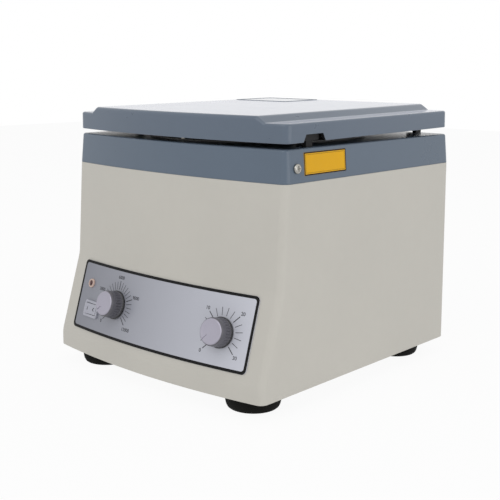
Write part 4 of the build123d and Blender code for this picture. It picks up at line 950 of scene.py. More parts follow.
# Its left end takes painted shade.
PANEL_FILM = FilmFinish(
    "panel_film", "panel_silver", linear(202, 204, 214),
    roughness=0.36, grain=Grain.BRUSHED, grain_depth=0.00001, grain_strength=0.08, tint=0.1,
    wear=0.1, wear_colour=linear(214, 216, 220), dust=0.03, coat=0.3, stretch=(700.0, 60.0, 25.0),
)
PRINT_BLACK = Finish(
    "print_black", "panel_silver", linear(17, 17, 18),
    roughness=0.5, grain_scale=2600.0, grain_depth=0.00001, grain_strength=0.2, tint=0.12, wear=0.0,
    dust=0.0, specular=0.15,
)
PRINT_GREY = replace(PRINT_BLACK, name="print_grey", colour=linear(36, 37, 42), specular=0.5)
KNOB_GREY = Finish(
    "knob_grey", "knob_grey", linear(92, 91, 98),
    roughness=0.36, grain_scale=1900.0, grain_strength=0.2, tint=0.06,
    wear_colour=linear(160, 159, 166), dust=0.08, coat=0.15,
)
# Dark band on the knobs' skirt, where they meet the panel.
KNOB_SKIRT = Finish(
    "knob_skirt", "knob_grey", linear(32, 32, 35),
    roughness=0.45, grain_scale=1900.0, grain_strength=0.2, tint=0.1, wear=0.3,
    wear_colour=linear(92, 92, 96), dust=0.08,
)
ROCKER_IVORY = Finish(
    "rocker_ivory", "rocker_ivory", linear(172, 173, 184),
    roughness=0.35, grain_scale=1500.0, grain_depth=0.00002, grain_strength=0.15, tint=0.03,
    wear=0.2, wear_colour=linear(226, 224, 218), dust=0.06,
)
LAMP_RING = Finish(
    "lamp_ring", "lamp_ring", linear(204, 178, 166),
    roughness=0.3, grain_scale=2200.0, grain_depth=0.00002, grain_strength=0.15, tint=0.06, wear=0.3,
    wear_colour=linear(232, 190, 164), dust=0.05,
)
LAMP_LENS = LensFinish("lamp_lens_dark", "lamp_dark", linear(74, 18, 20), roughness=0.12)
PLATE_YELLOW = Finish(
    "plate_yellow", "plate_yellow", linear(226, 170, 12),
    roughness=0.5, grain_scale=1200.0, grain_depth=0.00002, grain_strength=0.12, tint=0.05, wear=0.1,
    wear_colour=linear(232, 190, 90), dust=0.02, scuffs=0.1, specular=0.25,
)
PLATE_PALE = Finish(
    "plate_pale", "hood_grey", linear(176, 180, 188),
    roughness=0.38, grain=Grain.BRUSHED, grain_depth=0.00001, grain_strength=0.15, tint=0.05,
    wear=0.2, wear_colour=linear(206, 209, 214), dust=0.15, coat=0.9, stretch=(30.0, 1200.0, 1200.0),
)
MOTOR_ENAMEL = Finish(
    "motor_enamel", "motor_paint", linear(44, 45, 48),
    roughness=0.42, grain=Grain.PEEL, grain_scale=650.0, grain_depth=0.00008, tint=0.08, wear=0.5,
    wear_colour=linear(140, 140, 140), dust=0.2,
)
CORE_STEEL = Finish(
    "core_steel", "core_steel", linear(120, 118, 114),
    roughness=0.5, metallic=0.9, grain=Grain.BRUSHED, grain_depth=0.0001, grain_strength=0.5,
    tint=0.1, wear=0.3, dust=0.1, stretch=(8.0, 8.0, 2400.0),
)
BOARD_GREEN = Finish(
    "board_green", "board_green", linear(36, 96, 58),
    roughness=0.38, grain_scale=900.0, grain_depth=0.00008, tint=0.15, wear=0.1, dust=0.15,
)
CONTACT_BRASS = Finish(
    "contact_brass", "contact_brass", linear(214, 184, 112),
    roughness=0.25, metallic=1.0, grain=Grain.BRUSHED, grain_depth=0.00001, grain_strength=0.2,
    tint=0.08, wear=0.3, wear_colour=linear(240, 220, 160), dust=0.03, stretch=(900.0, 40.0, 900.0),
)


# Sub-assemblies


def control_cutters(form: Form, low: float, high: float) -> list[bpy.types.Object]:
    """Cutters for the holes of the knobs and the lamp and for the rocker's window, from low to high."""
    holes = [
        prism("cut_hole", circle(radius), low, high, form.front_frame(*place))
        for place, radius in CONTROL_HOLES
    ]
    window = rounded_box(*ROCKER_WINDOW, 0.5, 3)
    return holes + [prism("cut_rocker", window, low, high, form.front_frame(*ROCKER_PLACE))]


@dataclass
class Cabinet:
    """Sheet-metal cabinet: bowed front with a slanted lower part, vents and an inlet opening at the rear."""

    form: Form
    wall: float = 1.5
    edge: float = 0.5
    inlet_x: float = -62.0
    inlet_z: float = 63.0
    inlet_width: float = 30.0
    inlet_height: float = 31.0
    vent_x: float = 50.0
    vent_z: float = 87.0
    vent_count: int = 9
    vent_pitch: float = 8.0
    vent_width: float = 3.0
    vent_length: float = 40.0
    cut_reach: tuple[float, float] = (-6.0, 4.0)

    def profile(self) -> list[tuple[float, float]]:
        """Closed loop of (height, inset): up the outside, over the top and down the inside."""
        form, edge = self.form, self.edge
        levels = np.concatenate(
            (
                np.linspace(form.bottom + edge, form.lip - 4, 4),
                np.linspace(form.lip - 3, form.lip + 3, 7),
                np.linspace(form.lip + 5, form.knee - 6, 10),
                np.linspace(form.knee - 4, form.knee + 4, 8),
                np.linspace(form.knee + 6, form.seam - edge, 12),
            )
        )
        outer = [(level, 0.0) for level in levels]
        top = [(form.seam - edge * 0.3, edge * 0.3), (form.seam, edge), (form.seam, self.wall)]
        inner = [(level, self.wall) for level in levels[::-4]]
        bottom = [(form.bottom, self.wall), (form.bottom, edge), (form.bottom + edge * 0.3, edge * 0.3)]
        return outer + top + inner + bottom

    def openings(self) -> bpy.types.Object:
        """Cutters for the vents, the inlet and the controls, joined."""
        form = self.form
        backwards = ((-1, 0, 0), (0, 0, 1), (0, 1, 0))
        vents = frame_of((self.vent_x, form.rear, self.vent_z), backwards)
        inlet = frame_of((self.inlet_x, form.rear, self.inlet_z), backwards)
        low, high = self.cut_reach
        cutters = []
        half_turn = np.linspace(0, np.pi, 12)
        radius, straight = self.vent_width / 2, (self.vent_length - self.vent_width) / 2
        ends = np.concatenate((half_turn, half_turn + np.pi))
        lift = np.where(np.arange(24) < 12, straight, -straight)
        slot = np.column_stack((radius * np.cos(ends), radius * np.sin(ends) + lift))
        for number in range(self.vent_count):
            shift = (number - (self.vent_count - 1) / 2) * self.vent_pitch
            cutters.append(prism(f"cut_vent_{number}", slot + (shift, 0), low, high, vents))
        opening = rounded_box(self.inlet_width, self.inlet_height, 0.8, 3)
        cutters.append(prism("cut_inlet", opening, low, high, inlet))
        return joined("cabinet_cutters", cutters + control_cutters(form, low, high))

    def build(self) -> bpy.types.Object:
        """Build, cut and dress the cabinet."""
        made = surface("cabinet_skin", [(self.form.shell(self.profile()), True, True)])
        cut(made, self.openings())
        flatten_shading(made)
        dress(made, CREAM_PAINT)
        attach(made, "base")
        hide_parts("cabinet_shell")
        return made


@dataclass
class Deck:
    """Moulded deck: a drafted band with a rounded top edge and a round opening for the chamber."""

    form: Form
    slot: tuple[float, float, float, float]
    draft: float = 2.1
    wall: float = 2.5
    corner: float = 7.5
    edge: float = 2.2
    opening: float = 91.5
    cut_reach: tuple[float, float] = (-4.0, 2.0)
    plunger: tuple[float, float, float] = (-104.0, 55.0, 2.05)

    def build(self) -> bpy.types.Object:
        """Build the deck as one closed loop of rings and cut its latch slot and plunger hole.

        The rings go up the band, round the edge on a quarter circle, in to the opening by blending each
        plan point towards the opening's circle, and back along the underside.
        """
        form, edge = self.form, self.edge
        rise = form.deck - form.seam
        seam_break = np.array(((form.seam, 0.5), (form.seam + 0.15, 0.15)))
        levels = np.linspace(form.seam + 0.5, form.deck - edge, 8)
        band = np.column_stack((levels, self.draft * (levels - form.seam) / rise))
        turn = np.linspace(0, np.pi / 2, 9)[1:]
        start = self.draft * (rise - edge) / rise
        rounded = np.column_stack((form.deck - edge + edge * np.sin(turn), start + edge * (1 - np.cos(turn))))
        outer = np.concatenate((seam_break, band, rounded))
        plan = form.rings(outer[:, 1], np.zeros(len(outer)), self.corner)
        outside = np.concatenate((plan, np.repeat(outer[:, :1, None], plan.shape[1], axis=1)), axis=-1)
        centre = np.array((0.0, form.rotor_y))
        rim = plan[-1]
        arm = rim - centre
        hole = centre + self.opening * arm / np.linalg.norm(arm, axis=1, keepdims=True)
        blend = np.linspace(0, 1, 7)[1:, None, None]
        flat = rim[None] * (1 - blend) + hole[None] * blend
        top = np.concatenate((flat, np.full(flat.shape[:2] + (1,), form.deck)), axis=-1)
        under_plan = form.rings(np.array((self.wall + self.draft, self.wall)), np.zeros(2), self.corner)
        under = np.stack(
            (
                at_level(hole, form.deck - self.wall),
                at_level(under_plan[0], form.deck - self.wall),
                at_level(under_plan[1], form.seam),
            )
        )
        made = surface("deck_skin", [(np.concatenate((outside, top, under)), True, True)])
        left, right, front, back = self.slot
        low, high = self.cut_reach
        slot_frame = frame_of(((left + right) / 2, (front + back) / 2, form.deck))
        slot = prism("cut_slot", rounded_box(right - left, back - front, 0.5, 3), low, high, slot_frame)
        x, y, radius = self.plunger
        hole_frame = frame_of((x, form.front + y, form.deck))
        hole_cut = prism("cut_plunger", circle(radius, 24), low, high, hole_frame)
        cut(made, joined("deck_cutters", [slot, hole_cut]))
        flatten_shading(made)
        dress(made, DECK_PLASTIC)
        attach(made, "base")
        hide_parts("deck_top")
        return made


@dataclass
class Lid:
    """Moulded lid: a raised platform with a ramp and a low shoulder along each side."""

    form: Form
    half: float = 129.5
    depth: float = 242.8
    setback: float = 1.5
    front_gap: float = 4.4
    rear_gap: float = 6.9
    height: float = 21.5
    wall: float = 3.0
    corner: float = 7.5
    edge: float = 3.0
    shoulder_edge: float = 2.1
    shoulder_width: float = 29.5
    ramp_run: float = 8.0
    ramp_drop: float = 5.6
    ceiling: float = 12.9
    skin: float = 0.4
    notch_y: float = 34.8
    notch_top: float = 22.0
    notch_bottom: float = 29.0
    notch_height: float = 6.4

    @property
    def frame(self) -> np.ndarray:
        """The lid's own frame: its Y runs back along the lid, which rises slightly to the rear."""
        tilt = math.atan2(self.rear_gap - self.front_gap, self.depth)
        axes = ((1, 0, 0), (0, math.cos(tilt), math.sin(tilt)), (0, -math.sin(tilt), math.cos(tilt)))
        return frame_of((0, self.form.front + self.setback, self.form.deck + self.front_gap), axes)

    @property
    def bow_centre(self) -> float:
        """Y of the centre of the bowed front, in the lid's frame."""
        return math.sqrt(self.form.bow_radius**2 - self.half**2)

    @property
    def corner_centre(self) -> float:
        """Y of the centre of the front corners' circles, in the lid's frame."""
        inner = self.half - self.corner
        return self.bow_centre - math.sqrt((self.form.bow_radius - self.corner) ** 2 - inner**2)

    def edge_distance(self, x: np.ndarray, y: np.ndarray) -> np.ndarray:
        """Distance in from the lid's outline: the least of those to the sides, the back and the bow.

        Beyond a corner's centre it is the corner radius less the distance to that centre.
        """
        corner, side = self.corner, np.abs(x)
        inner = self.half - corner
        straight = np.minimum(self.half - side, self.depth - y)
        bow = self.form.bow_radius - np.hypot(x, y - self.bow_centre)
        distance = np.minimum(straight, bow)
        at_front = (side > inner) & (y < self.corner_centre)
        at_back = (side > inner) & (y > self.depth - corner)
        distance = np.where(at_front, corner - np.hypot(side - inner, y - self.corner_centre), distance)
        return np.where(at_back, corner - np.hypot(side - inner, y - self.depth + corner), distance)

    def level(self, x: np.ndarray, y: np.ndarray) -> np.ndarray:
        """Height of the top: platform, ramp and shoulder across X, less the rounding near the outline."""
        side = np.abs(x)
        start = self.half - self.shoulder_width
        slant = -self.ramp_drop / self.ramp_run
        upper, lower = soft_ramp(side - start, 1.6), soft_ramp(side - start - self.ramp_run, 0.8)
        top = self.height + slant * (upper - lower)
        share = np.clip((side - start) / self.ramp_run, 0, 1)
        edge = self.edge + (self.shoulder_edge - self.edge) * share
        near = np.clip(edge - self.edge_distance(x, y), 0, edge)
        return top - (edge - np.sqrt(np.maximum(edge**2 - near**2, 0)))

    def top(self) -> np.ndarray:
        """Grid of the top: columns across X, dense at the ramps and corners, and rows from front to back."""
        corner = self.corner
        inner = self.half - corner
        start = self.half - self.shoulder_width
        foot = start + self.ramp_run
        turn = np.linspace(0, np.pi / 2, 16)
        right = np.concatenate(
            (
                np.linspace(0, start - 5, 18),
                np.linspace(start - 2.4, start + 2.4, 9),
                np.linspace(start + 3.4, foot - 1.6, 3),
                np.linspace(foot - 1.0, foot + 1.0, 6),
                np.linspace(foot + 2.4, inner - 1.0, 6),
                inner + corner * np.sin(turn),
            )
        )
        right = np.unique(np.round(right, 6))
        x = np.concatenate((-right[:0:-1], right))
        side = np.abs(x)
        beyond = np.clip(side - inner, 0, corner)
        bow_front = self.bow_centre - np.sqrt(self.form.bow_radius**2 - x**2)
        corner_front = self.corner_centre - np.sqrt(corner**2 - beyond**2)
        tangent = self.form.bow_radius * inner / (self.form.bow_radius - corner)
        front = np.where(side > tangent, corner_front, bow_front)
        back = self.depth - corner + np.sqrt(corner**2 - beyond**2)
        near = self.edge * (1 - np.cos(np.linspace(0, np.pi / 2, 10)))
        middle = np.linspace(0, 1, 44)[1:-1]
        rows = np.concatenate(
            (
                front[None] + near[:, None],
                front[None] + self.edge + (back - front - 2 * self.edge)[None] * middle[:, None],
                back[None] - near[::-1, None],
            )
        )
        across = np.repeat(x[None], len(rows), axis=0)
        return np.stack((across, rows, self.level(across, rows)), axis=-1)

    def walls(self, top: np.ndarray) -> np.ndarray:
        """Rings from the top's rim down the outside, up the inside and over the ceiling.

        The inner rings are the rim moved in along the slope of the edge distance.
        """
        rim = np.concatenate((top[0], top[1:, -1], top[-1, -2::-1], top[-2:0:-1, 0]))
        x, y, high = rim.T
        step = 0.01
        slope_x = (self.edge_distance(x + step, y) - self.edge_distance(x - step, y)) / (2 * step)
        slope_y = (self.edge_distance(x, y + step) - self.edge_distance(x, y - step)) / (2 * step)
        length = np.hypot(slope_x, slope_y)
        slope_x, slope_y = slope_x / length, slope_y / length
        ring = lambda inset, level: np.column_stack((x + slope_x * inset, y + slope_y * inset, level + 0 * x))
        outer = [np.column_stack((x, y, high * (1 - share) + 0.5 * share)) for share in np.linspace(0, 1, 6)]
        under = [ring(0.15, 0.15), ring(0.5, 0.0), ring(self.wall - 0.3, 0.0), ring(self.wall, 0.3)]
        inner = [ring(self.wall, self.ceiling * 0.5), ring(self.wall, self.ceiling)]
        centre = np.repeat(np.array(((0.0, self.depth / 2, self.ceiling),)), len(rim), axis=0)
        return np.stack(outer + under + inner + [centre])

    def darken_inside(self, made: bpy.types.Object) -> None:
        """Give the second finish, painted shade, to the underside: the faces that look down and those of the
        hollow.

        A face is inside where it lies further in than the skin and no higher than the ceiling, and its
        normal doesn't look up.
        """
        faces = made.data.polygons
        centres, normals = np.empty(3 * len(faces)), np.empty(3 * len(faces))
        faces.foreach_get("center", centres)
        faces.foreach_get("normal", normals)
        own = placed(centres.reshape(-1, 3) / MM, np.linalg.inv(self.frame))
        looks_up = normals.reshape(-1, 3)[:, 2] > 0.05
        further_in = self.edge_distance(own[:, 0], own[:, 1]) > self.skin
        inside = further_in & ~looks_up & (own[:, 2] < self.ceiling + 0.5)
        faces.foreach_set("material_index", inside.astype(np.int32))

    def build(self) -> bpy.types.Object:
        """Build the lid, cut its latch notch and dress it."""
        top = self.top()
        grids = [(placed(top, self.frame), False, False), (placed(self.walls(top), self.frame), False, True)]
        made = surface("lid_skin", grids)
        wide, narrow = self.notch_bottom / 2, self.notch_top / 2
        outline = np.array(
            (
                (self.notch_y - wide, -2.0),
                (self.notch_y + wide, -2.0),
                (self.notch_y + wide, 0.0),
                (self.notch_y + narrow, self.notch_height),
                (self.notch_y - narrow, self.notch_height),
                (self.notch_y - wide, 0.0),
            )
        )
        own = self.frame
        across = frame_of(own[:3, 3], (own[:3, 1], own[:3, 2], (1, 0, 0)))
        cut(made, prism("cut_notch", outline, self.half - self.wall - 1.0, self.half + 3.0, across))
        flatten_shading(made)
        # The second finish is painted shade on the lid's underside and hollow.
        dress(made, HOOD_PLASTIC, LID_PAINTED_SHADE)
        self.darken_inside(made)
        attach(made, "lid")
        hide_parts("lid_shell")
        return made


@dataclass
class LidPlate:
    """Blank plate let into the lid's top, with a raised rim."""

    lid: Lid
    width: float = 69.0
    depth: float = 55.0
    side: float = 32.5
    back: float = 3.5
    rise: float = 0.4
    rim: float = 1.4

    def build(self) -> list[bpy.types.Object]:
        """Build the plate's field and its darker rim."""
        frame = self.lid.frame.copy()
        centre = np.array(
            (-(self.lid.half - self.side - self.width / 2), self.lid.depth - self.back - self.depth / 2, 0)
        )
        frame[:3, 3] = placed(centre + (0, 0, self.lid.height), self.lid.frame)
        outline = rounded_box(self.width, self.depth, 1.5)
        inner = rounded_box(self.width - 2 * self.rim, self.depth - 2 * self.rim, 0.8)
        deeper = rounded_box(self.width - 2 * self.rim - 0.4, self.depth - 2 * self.rim - 0.4, 0.8)
        rim_rings = np.stack(
            (
                at_level(outline, 0.02),
                at_level(outline, self.rise - 0.3),
                at_level(rounded_box(self.width - 0.4, self.depth - 0.4, 1.3), self.rise),
                at_level(inner, self.rise),
                at_level(deeper, self.rise - 0.3),
                at_level(deeper, 0.02),
            )
        )
        rim = surface("lid_plate_rim", [(placed(rim_rings, frame), True, True)])
        field_rings = np.stack((at_level(deeper * 1.002, 0.03), at_level(deeper * 1.002, self.rise - 0.3)))
        plate = surface("lid_plate_field", [(placed(field_rings, frame), False, True)])
        for piece, finish in ((rim, HOOD_PLASTIC), (plate, PLATE_PALE)):
            dress(piece, finish)
            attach(piece, "lid")
        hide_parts("lid_top_plate")
        return [rim, plate]


@dataclass
class SidePlate:
    """Blank yellow plate on the deck's right side, with a dark printed border."""

    form: Form
    width: float = 56.0
    height: float = 19.0
    thickness: float = 0.3
    along: float = 51.4
    up: float = 14.8
    draft: float = 2.1
    border: float = 1.0

    @property
    def frame(self) -> np.ndarray:
        """Frame on the drafted side band, its Z outwards and its X to the back."""
        rise = self.form.deck - self.form.seam
        normal = np.array((rise, 0.0, self.draft))
        normal /= np.linalg.norm(normal)
        right = np.array((0.0, 1.0, 0.0))
        x = self.form.half - self.draft * self.up / rise
        origin = (x, self.form.front + self.along, self.form.seam + self.up)
        return frame_of(origin, (right, np.cross(normal, right), normal))

    def build(self) -> list[bpy.types.Object]:
        """Build the yellow plate, its border and the fine inner line."""
        outline = rounded_box(self.width, self.height, 0.6)
        trimmed = rounded_box(self.width - 0.1, self.height - 0.1, 0.55)
        shoulder = at_level(outline, self.thickness - 0.05)
        rings = np.stack((at_level(outline, 0.0), shoulder, at_level(trimmed, self.thickness)))
        plate = surface("side_plate_yellow", [(placed(rings, self.frame), False, True)])
        dress(plate, PLATE_YELLOW)
        lines = []
        for inset, width in ((0.05, self.border), (1.9, 0.22)):
            ring = lambda grow, height: at_level(
                rounded_box(self.width - 2 * grow, self.height - 2 * grow, max(0.6 - grow * 0.2, 0.2)), height
            )
            loop = np.stack(
                (
                    ring(inset, self.thickness - 0.02),
                    ring(inset, self.thickness + 0.04),
                    ring(inset + width, self.thickness + 0.04),
                    ring(inset + width, self.thickness - 0.02),
                )
            )
            lines.append(surface("side_plate_line", [(placed(loop, self.frame), True, True)]))
        border = joined("side_plate_border", lines)
        dress(border, PRINT_BLACK)
        for piece in (plate, border):
            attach(piece, "base")
        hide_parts("side_plate")
        return [plate, border]


class Scale(Enum):
    """The two printed dials: centre across and drop, long marks' numbers, and steps between them."""

    SPEED = (*SPEED_PLACE, ("0", "3000", "6000", "9000", "12000"), 6)
    TIMER = (*TIMER_PLACE, ("0", "10", "20", "30"), 5)


@dataclass
class FrontPanel:
    """Silver panel plate on the slanted front, with its printed border, dial marks and numbers."""

    form: Form
    width: float = 219.9
    height: float = 64.0
    middle: float = 2.15
    corner: float = 4.0
    thickness: float = 1.0
    middle_drop: float = 34.2
    border: float = 2.5
    mark_start: float = 14.2
    mark_end: float = 21.2
    mark_width: float = 0.46
    digit: float = 4.3
    digit_radius: float = 25.0
    ink: float = 0.06
    cut_reach: tuple[float, float] = (-3.0, 5.0)

    def skin(self, across: np.ndarray, up: np.ndarray, lift) -> np.ndarray:
        """Point of the panel's place: across and up from its middle, lifted from the cabinet's front."""
        across, up = np.broadcast_arrays(np.asarray(across, float), np.asarray(up, float))
        return self.form.front_skin(across, up, np.broadcast_to(lift, across.shape), self.middle_drop)

    def up_of(self, drop: float) -> float:
        """Distance up the slope from the panel's middle, for a drop below the knee."""
        return (self.middle_drop - drop) / math.cos(math.atan2(self.form.run, self.form.rise))

    def plate(self) -> bpy.types.Object:
        """The plate: rows up the slope whose half width narrows at the round corners.

        At a row e from the edge, the half width is W/2 - r + sqrt(r^2 - (r - e)^2).
        """
        corner, half_height = self.corner, self.height / 2
        turn = np.linspace(0, np.pi / 2, 8)
        near = corner * (1 - np.cos(turn))
        rows = np.concatenate(
            (
                near - half_height,
                np.linspace(corner - half_height, half_height - corner, 20)[1:-1],
                half_height - near[::-1],
            )
        )
        inside = np.clip(corner - (half_height - np.abs(rows)), 0, corner)
        half = self.width / 2 - corner + np.sqrt(corner**2 - inside**2)
        share = np.concatenate((np.linspace(-1, 1, 80), np.linspace(1, -1, 80)))
        lift = np.where(np.arange(160) < 80, self.thickness, 0.02)
        across = self.middle + half[:, None] * share[None]
        up = np.repeat(rows[:, None], 160, axis=1)
        loops = self.skin(across, up, np.repeat(lift[None], len(rows), axis=0))
        under = self.skin(across, up, np.full(across.shape, 0.02))
        grid = np.concatenate((under[:1], loops, under[-1:]))
        made = surface("panel_plate", [(grid, False, True)])
        cut(made, joined("panel_cutters", control_cutters(self.form, *self.cut_reach)))
        return made

    def frame_line(self) -> bpy.types.Object:
        """Printed border: a flat section carried round the plate's rounded outline, with dense runs."""
        rings = []
        for inset, lift in ((0.02, -0.3), (0.02, self.ink), (self.border, self.ink), (self.border, -0.02)):
            corner = max(self.corner - inset * 0.6, 1.0)
            loop = rounded_box(self.width - 2 * inset, self.height - 2 * inset, corner, 8)
            ends = np.roll(loop, -1, axis=0)
            share = np.linspace(0, 1, 24, endpoint=False)[None, :, None]
            dense = (loop[:, None] * (1 - share) + ends[:, None] * share).reshape(-1, 2)
            rings.append(self.skin(self.middle + dense[:, 0], dense[:, 1], self.thickness + lift))
        return surface("panel_border", [(np.stack(rings), True, True)], smooth=40.0)

    def marks(self, scale: Scale) -> bpy.types.Object:
        """Dial marks: thin bars along rays from the dial's centre over 270 degrees, longer at the numbers."""
        across, drop, labels, steps = scale.value
        count = (len(labels) - 1) * steps + 1
        number = np.arange(count)
        angle = np.radians(225.0 - 270.0 * number / (count - 1))
        long = number % steps == 0
        start = np.full(count, self.mark_start)
        end = np.where(long, self.mark_end + 0.8, self.mark_end)
        half = np.where(long, self.mark_width * 0.8, self.mark_width * 0.5)
        along = np.stack((start, end, end, start, start, end, end, start), axis=1)
        beside = np.stack((half, half, -half, -half, half, half, -half, -half), axis=1)
        lift = np.array((-0.02,) * 4 + (self.ink,) * 4)
        cos, sin = np.cos(angle)[:, None], np.sin(angle)[:, None]
        x = across + along * cos - beside * sin
        up = self.up_of(drop) + along * sin + beside * cos
        points = self.skin(x, up, self.thickness + np.broadcast_to(lift, x.shape)).reshape(-1, 3) * MM
        box = np.array(((0, 3, 2, 1), (4, 5, 6, 7), (0, 1, 5, 4), (1, 2, 6, 5), (2, 3, 7, 6), (3, 0, 4, 7)))
        faces = (box[None] + 8 * np.arange(count)[:, None, None]).reshape(-1, 4)
        mesh = bpy.data.meshes.new(f"{scale.name.lower()}_marks")
        mesh.from_pydata(points.tolist(), [], faces.tolist())
        close_mesh(mesh)
        return object_of(mesh.name, mesh)

    def number(self, text: str, across: float, up: float, size: float) -> bpy.types.Object:
        """One printed number, its outline laid on the bowed front.

        Args:
            text: digits, or a plain stroke or ring for a switch.
            across: place of its middle across the panel.
            up: place of its middle up the panel.
            size: height of the type.

        Returns:
            The number as a thin closed mesh.
        """
        curve = bpy.data.curves.new(f"number_{text}", "FONT")
        curve.body, curve.size, curve.extrude, curve.offset = text, size, 1.0, 0.05
        curve.align_x, curve.align_y = "CENTER", "CENTER"
        carrier = bpy.data.objects.new(curve.name, curve)
        bpy.context.scene.collection.objects.link(carrier)
        mesh = bpy.data.meshes.new_from_object(carrier.evaluated_get(bpy.context.evaluated_depsgraph_get()))
        bpy.data.objects.remove(carrier)
        flat = np.zeros(len(mesh.vertices) * 3, dtype=np.float32)
        mesh.vertices.foreach_get("co", flat)
        flat = flat.reshape(-1, 3)
        lift = self.thickness + np.where(flat[:, 2] > 0, self.ink, -0.02)
        laid = self.skin(across + flat[:, 0], up + flat[:, 1], lift) * MM
        mesh.vertices.foreach_set("co", laid.astype(np.float32).ravel())
        mesh.update()
        close_mesh(mesh)
        return object_of(mesh.name, mesh)

    def numbers(self, scale: Scale) -> list[bpy.types.Object]:
        """The numbers of one dial, spread over the same 270 degrees as its marks."""
        across, drop, labels, _ = scale.value
        made = []
        for index, text in enumerate(labels):
            angle = math.radians(225.0 - 270.0 * index / (len(labels) - 1))
            radius = self.digit_radius + (len(text) - 1) * 0.75 * abs(math.cos(angle))
            x, up = across + radius * math.cos(angle), self.up_of(drop) + radius * math.sin(angle)
            made.append(self.number(text, x, up, self.digit))
        return made

    def build(self) -> list[bpy.types.Object]:
        """Build and dress the plate and everything printed on it."""
        plate = self.plate()
        dress(plate, PANEL_FILM)
        border = self.frame_line()
        dress(border, PRINT_BLACK)
        print_pieces = []
        for scale in Scale:
            print_pieces += [self.marks(scale), *self.numbers(scale)]
        printed = joined("panel_print", print_pieces)
        dress(printed, PRINT_GREY)
        for piece in (plate, border, printed):
            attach(piece, "base")
        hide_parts("control_panel")
        return [plate, border, printed]


@dataclass
class Knob:
    """Control knob: skirt with a dark band where it meets the panel, fluted grip, smooth collar and a bright
    cap with a pointer groove.
    """

    form: Form
    name: str
    body: str
    across: float
    drop: float
    base: float = 1.6
    top: float = 15.0
    skirt_radius: float = 13.0
    grip_radius: float = 12.3
    flutes: int = 30
    flute_depth: float = 0.8
    cap_radius: float = 10.8
    samples: int = 12

    def grip(self, frame: np.ndarray) -> bpy.types.Object:
        """Skirt, grip and collar as one turned surface.

        The radius is the profile's, less depth * (1 + cos(flutes * t)) / 2 where the grip is fluted.
        """
        top, base = self.top, self.base
        profile = np.array(
            (
                (0.0, 12.0, 0),
                (3.0, 12.0, 0),
                (3.0, 6.6, 0),
                (9.2, 6.6, 0),
                (9.2, base, 0),
                (self.skirt_radius - 0.4, base, 0),
                (self.skirt_radius - 0.1, base + 0.15, 0),
                (self.skirt_radius, base + 0.5, 0),
                (self.skirt_radius, base + 1.2, 0),
                (self.skirt_radius - 0.2, base + 1.6, 0),
                (self.grip_radius + 0.1, base + 1.7, 0),
                (self.grip_radius, base + 1.9, 0.4),
                (self.grip_radius - 0.05, base + 2.4, 1),
                (self.grip_radius - 0.15, base + 4.5, 1),
                (self.grip_radius - 0.25, base + 7.6, 1),
                (self.grip_radius - 0.3, base + 8.3, 0.5),
                (self.grip_radius - 0.35, base + 8.7, 0),
                (self.grip_radius - 0.45, base + 10.0, 0),
                (self.grip_radius - 0.6, top - 1.6, 0),
                (self.grip_radius - 0.8, top - 0.7, 0),
                (self.grip_radius - 1.1, top - 0.2, 0),
                (self.cap_radius + 0.1, top, 0),
                (self.cap_radius, top - 0.1, 0),
                (self.cap_radius, top - 0.6, 0),
                (0.0, top - 0.6, 0),
            )
        )
        count = self.flutes * self.samples
        turn = np.linspace(0, 2 * np.pi, count, endpoint=False)
        carve = profile[:, 2:3] * self.flute_depth * ((1 + np.cos(self.flutes * turn)) / 2)[None] ** 2
        radius = profile[:, :1] - carve
        ring = np.stack(
            (radius * np.cos(turn), radius * np.sin(turn), np.repeat(profile[:, 1:2], count, axis=1)), axis=-1
        )
        made = surface(f"{self.name}_grip", [(placed(ring, frame), False, True)], smooth=50.0)
        dress(made, KNOB_GREY, KNOB_SKIRT)
        centres = np.zeros(len(made.data.polygons) * 3, dtype=np.float32)
        made.data.polygons.foreach_get("center", centres)
        lift = (centres.reshape(-1, 3) / MM - frame[:3, 3]) @ frame[:3, 2]
        made.data.polygons.foreach_set("material_index", (lift < base + 1.8).astype(np.int32))
        return made

    def cap(self, frame: np.ndarray) -> bpy.types.Object:
        """Bright cap: a shallow dish with a rounded rim, and a pointer groove cut towards its edge."""
        top, radius = self.top, self.cap_radius - 0.05
        profile = (
            (0.0, top - 0.55),
            (radius, top - 0.55),
            (radius, top + 0.2),
            (radius - 0.15, top + 0.45),
            (radius - 0.5, top + 0.58),
            (radius - 1.0, top + 0.6),
            (radius - 1.6, top + 0.5),
            (radius - 3.0, top + 0.42),
            (radius - 6.0, top + 0.36),
            (0.0, top + 0.34),
        )
        made = turned(f"{self.name}_face", profile, frame, 96)
        pointer = np.radians(225.0)
        along = np.array((np.cos(pointer), np.sin(pointer)))
        groove = rounded_box(5.4, 1.0, 0.45, 4)
        beside = np.array((-along[1], along[0]))
        outline = along * (radius * 0.66) + groove[:, :1] * along + groove[:, 1:] * beside
        cut(made, prism("cut_pointer", outline, top, top + 2.0, frame), 40.0)
        finish = Finish(
            f"{self.name}_turned",
            "cap_silver",
            linear(172, 169, 182),
            roughness=0.3,
            metallic=0.75,
            grain=Grain.TURNED,
            grain_scale=2600.0,
            grain_depth=0.00001,
            grain_strength=0.2,
            tint=0.05,
            wear=0.3,
            wear_colour=linear(224, 222, 230),
            dust=0.03,
            centre=tuple(frame[:3, 3] * MM),
            axis=tuple(frame[:3, 2]),
        )
        dress(made, finish)
        return made

    def build(self) -> list[bpy.types.Object]:
        """Build the grip and the cap on the panel."""
        frame = self.form.front_frame(self.across, self.drop)
        grip, cap = self.grip(frame), self.cap(frame)
        for piece in (grip, cap):
            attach(piece, self.body)
        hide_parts(f"{self.name}_knob")
        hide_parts(f"{self.name}_knob_cap")
        return [grip, cap]


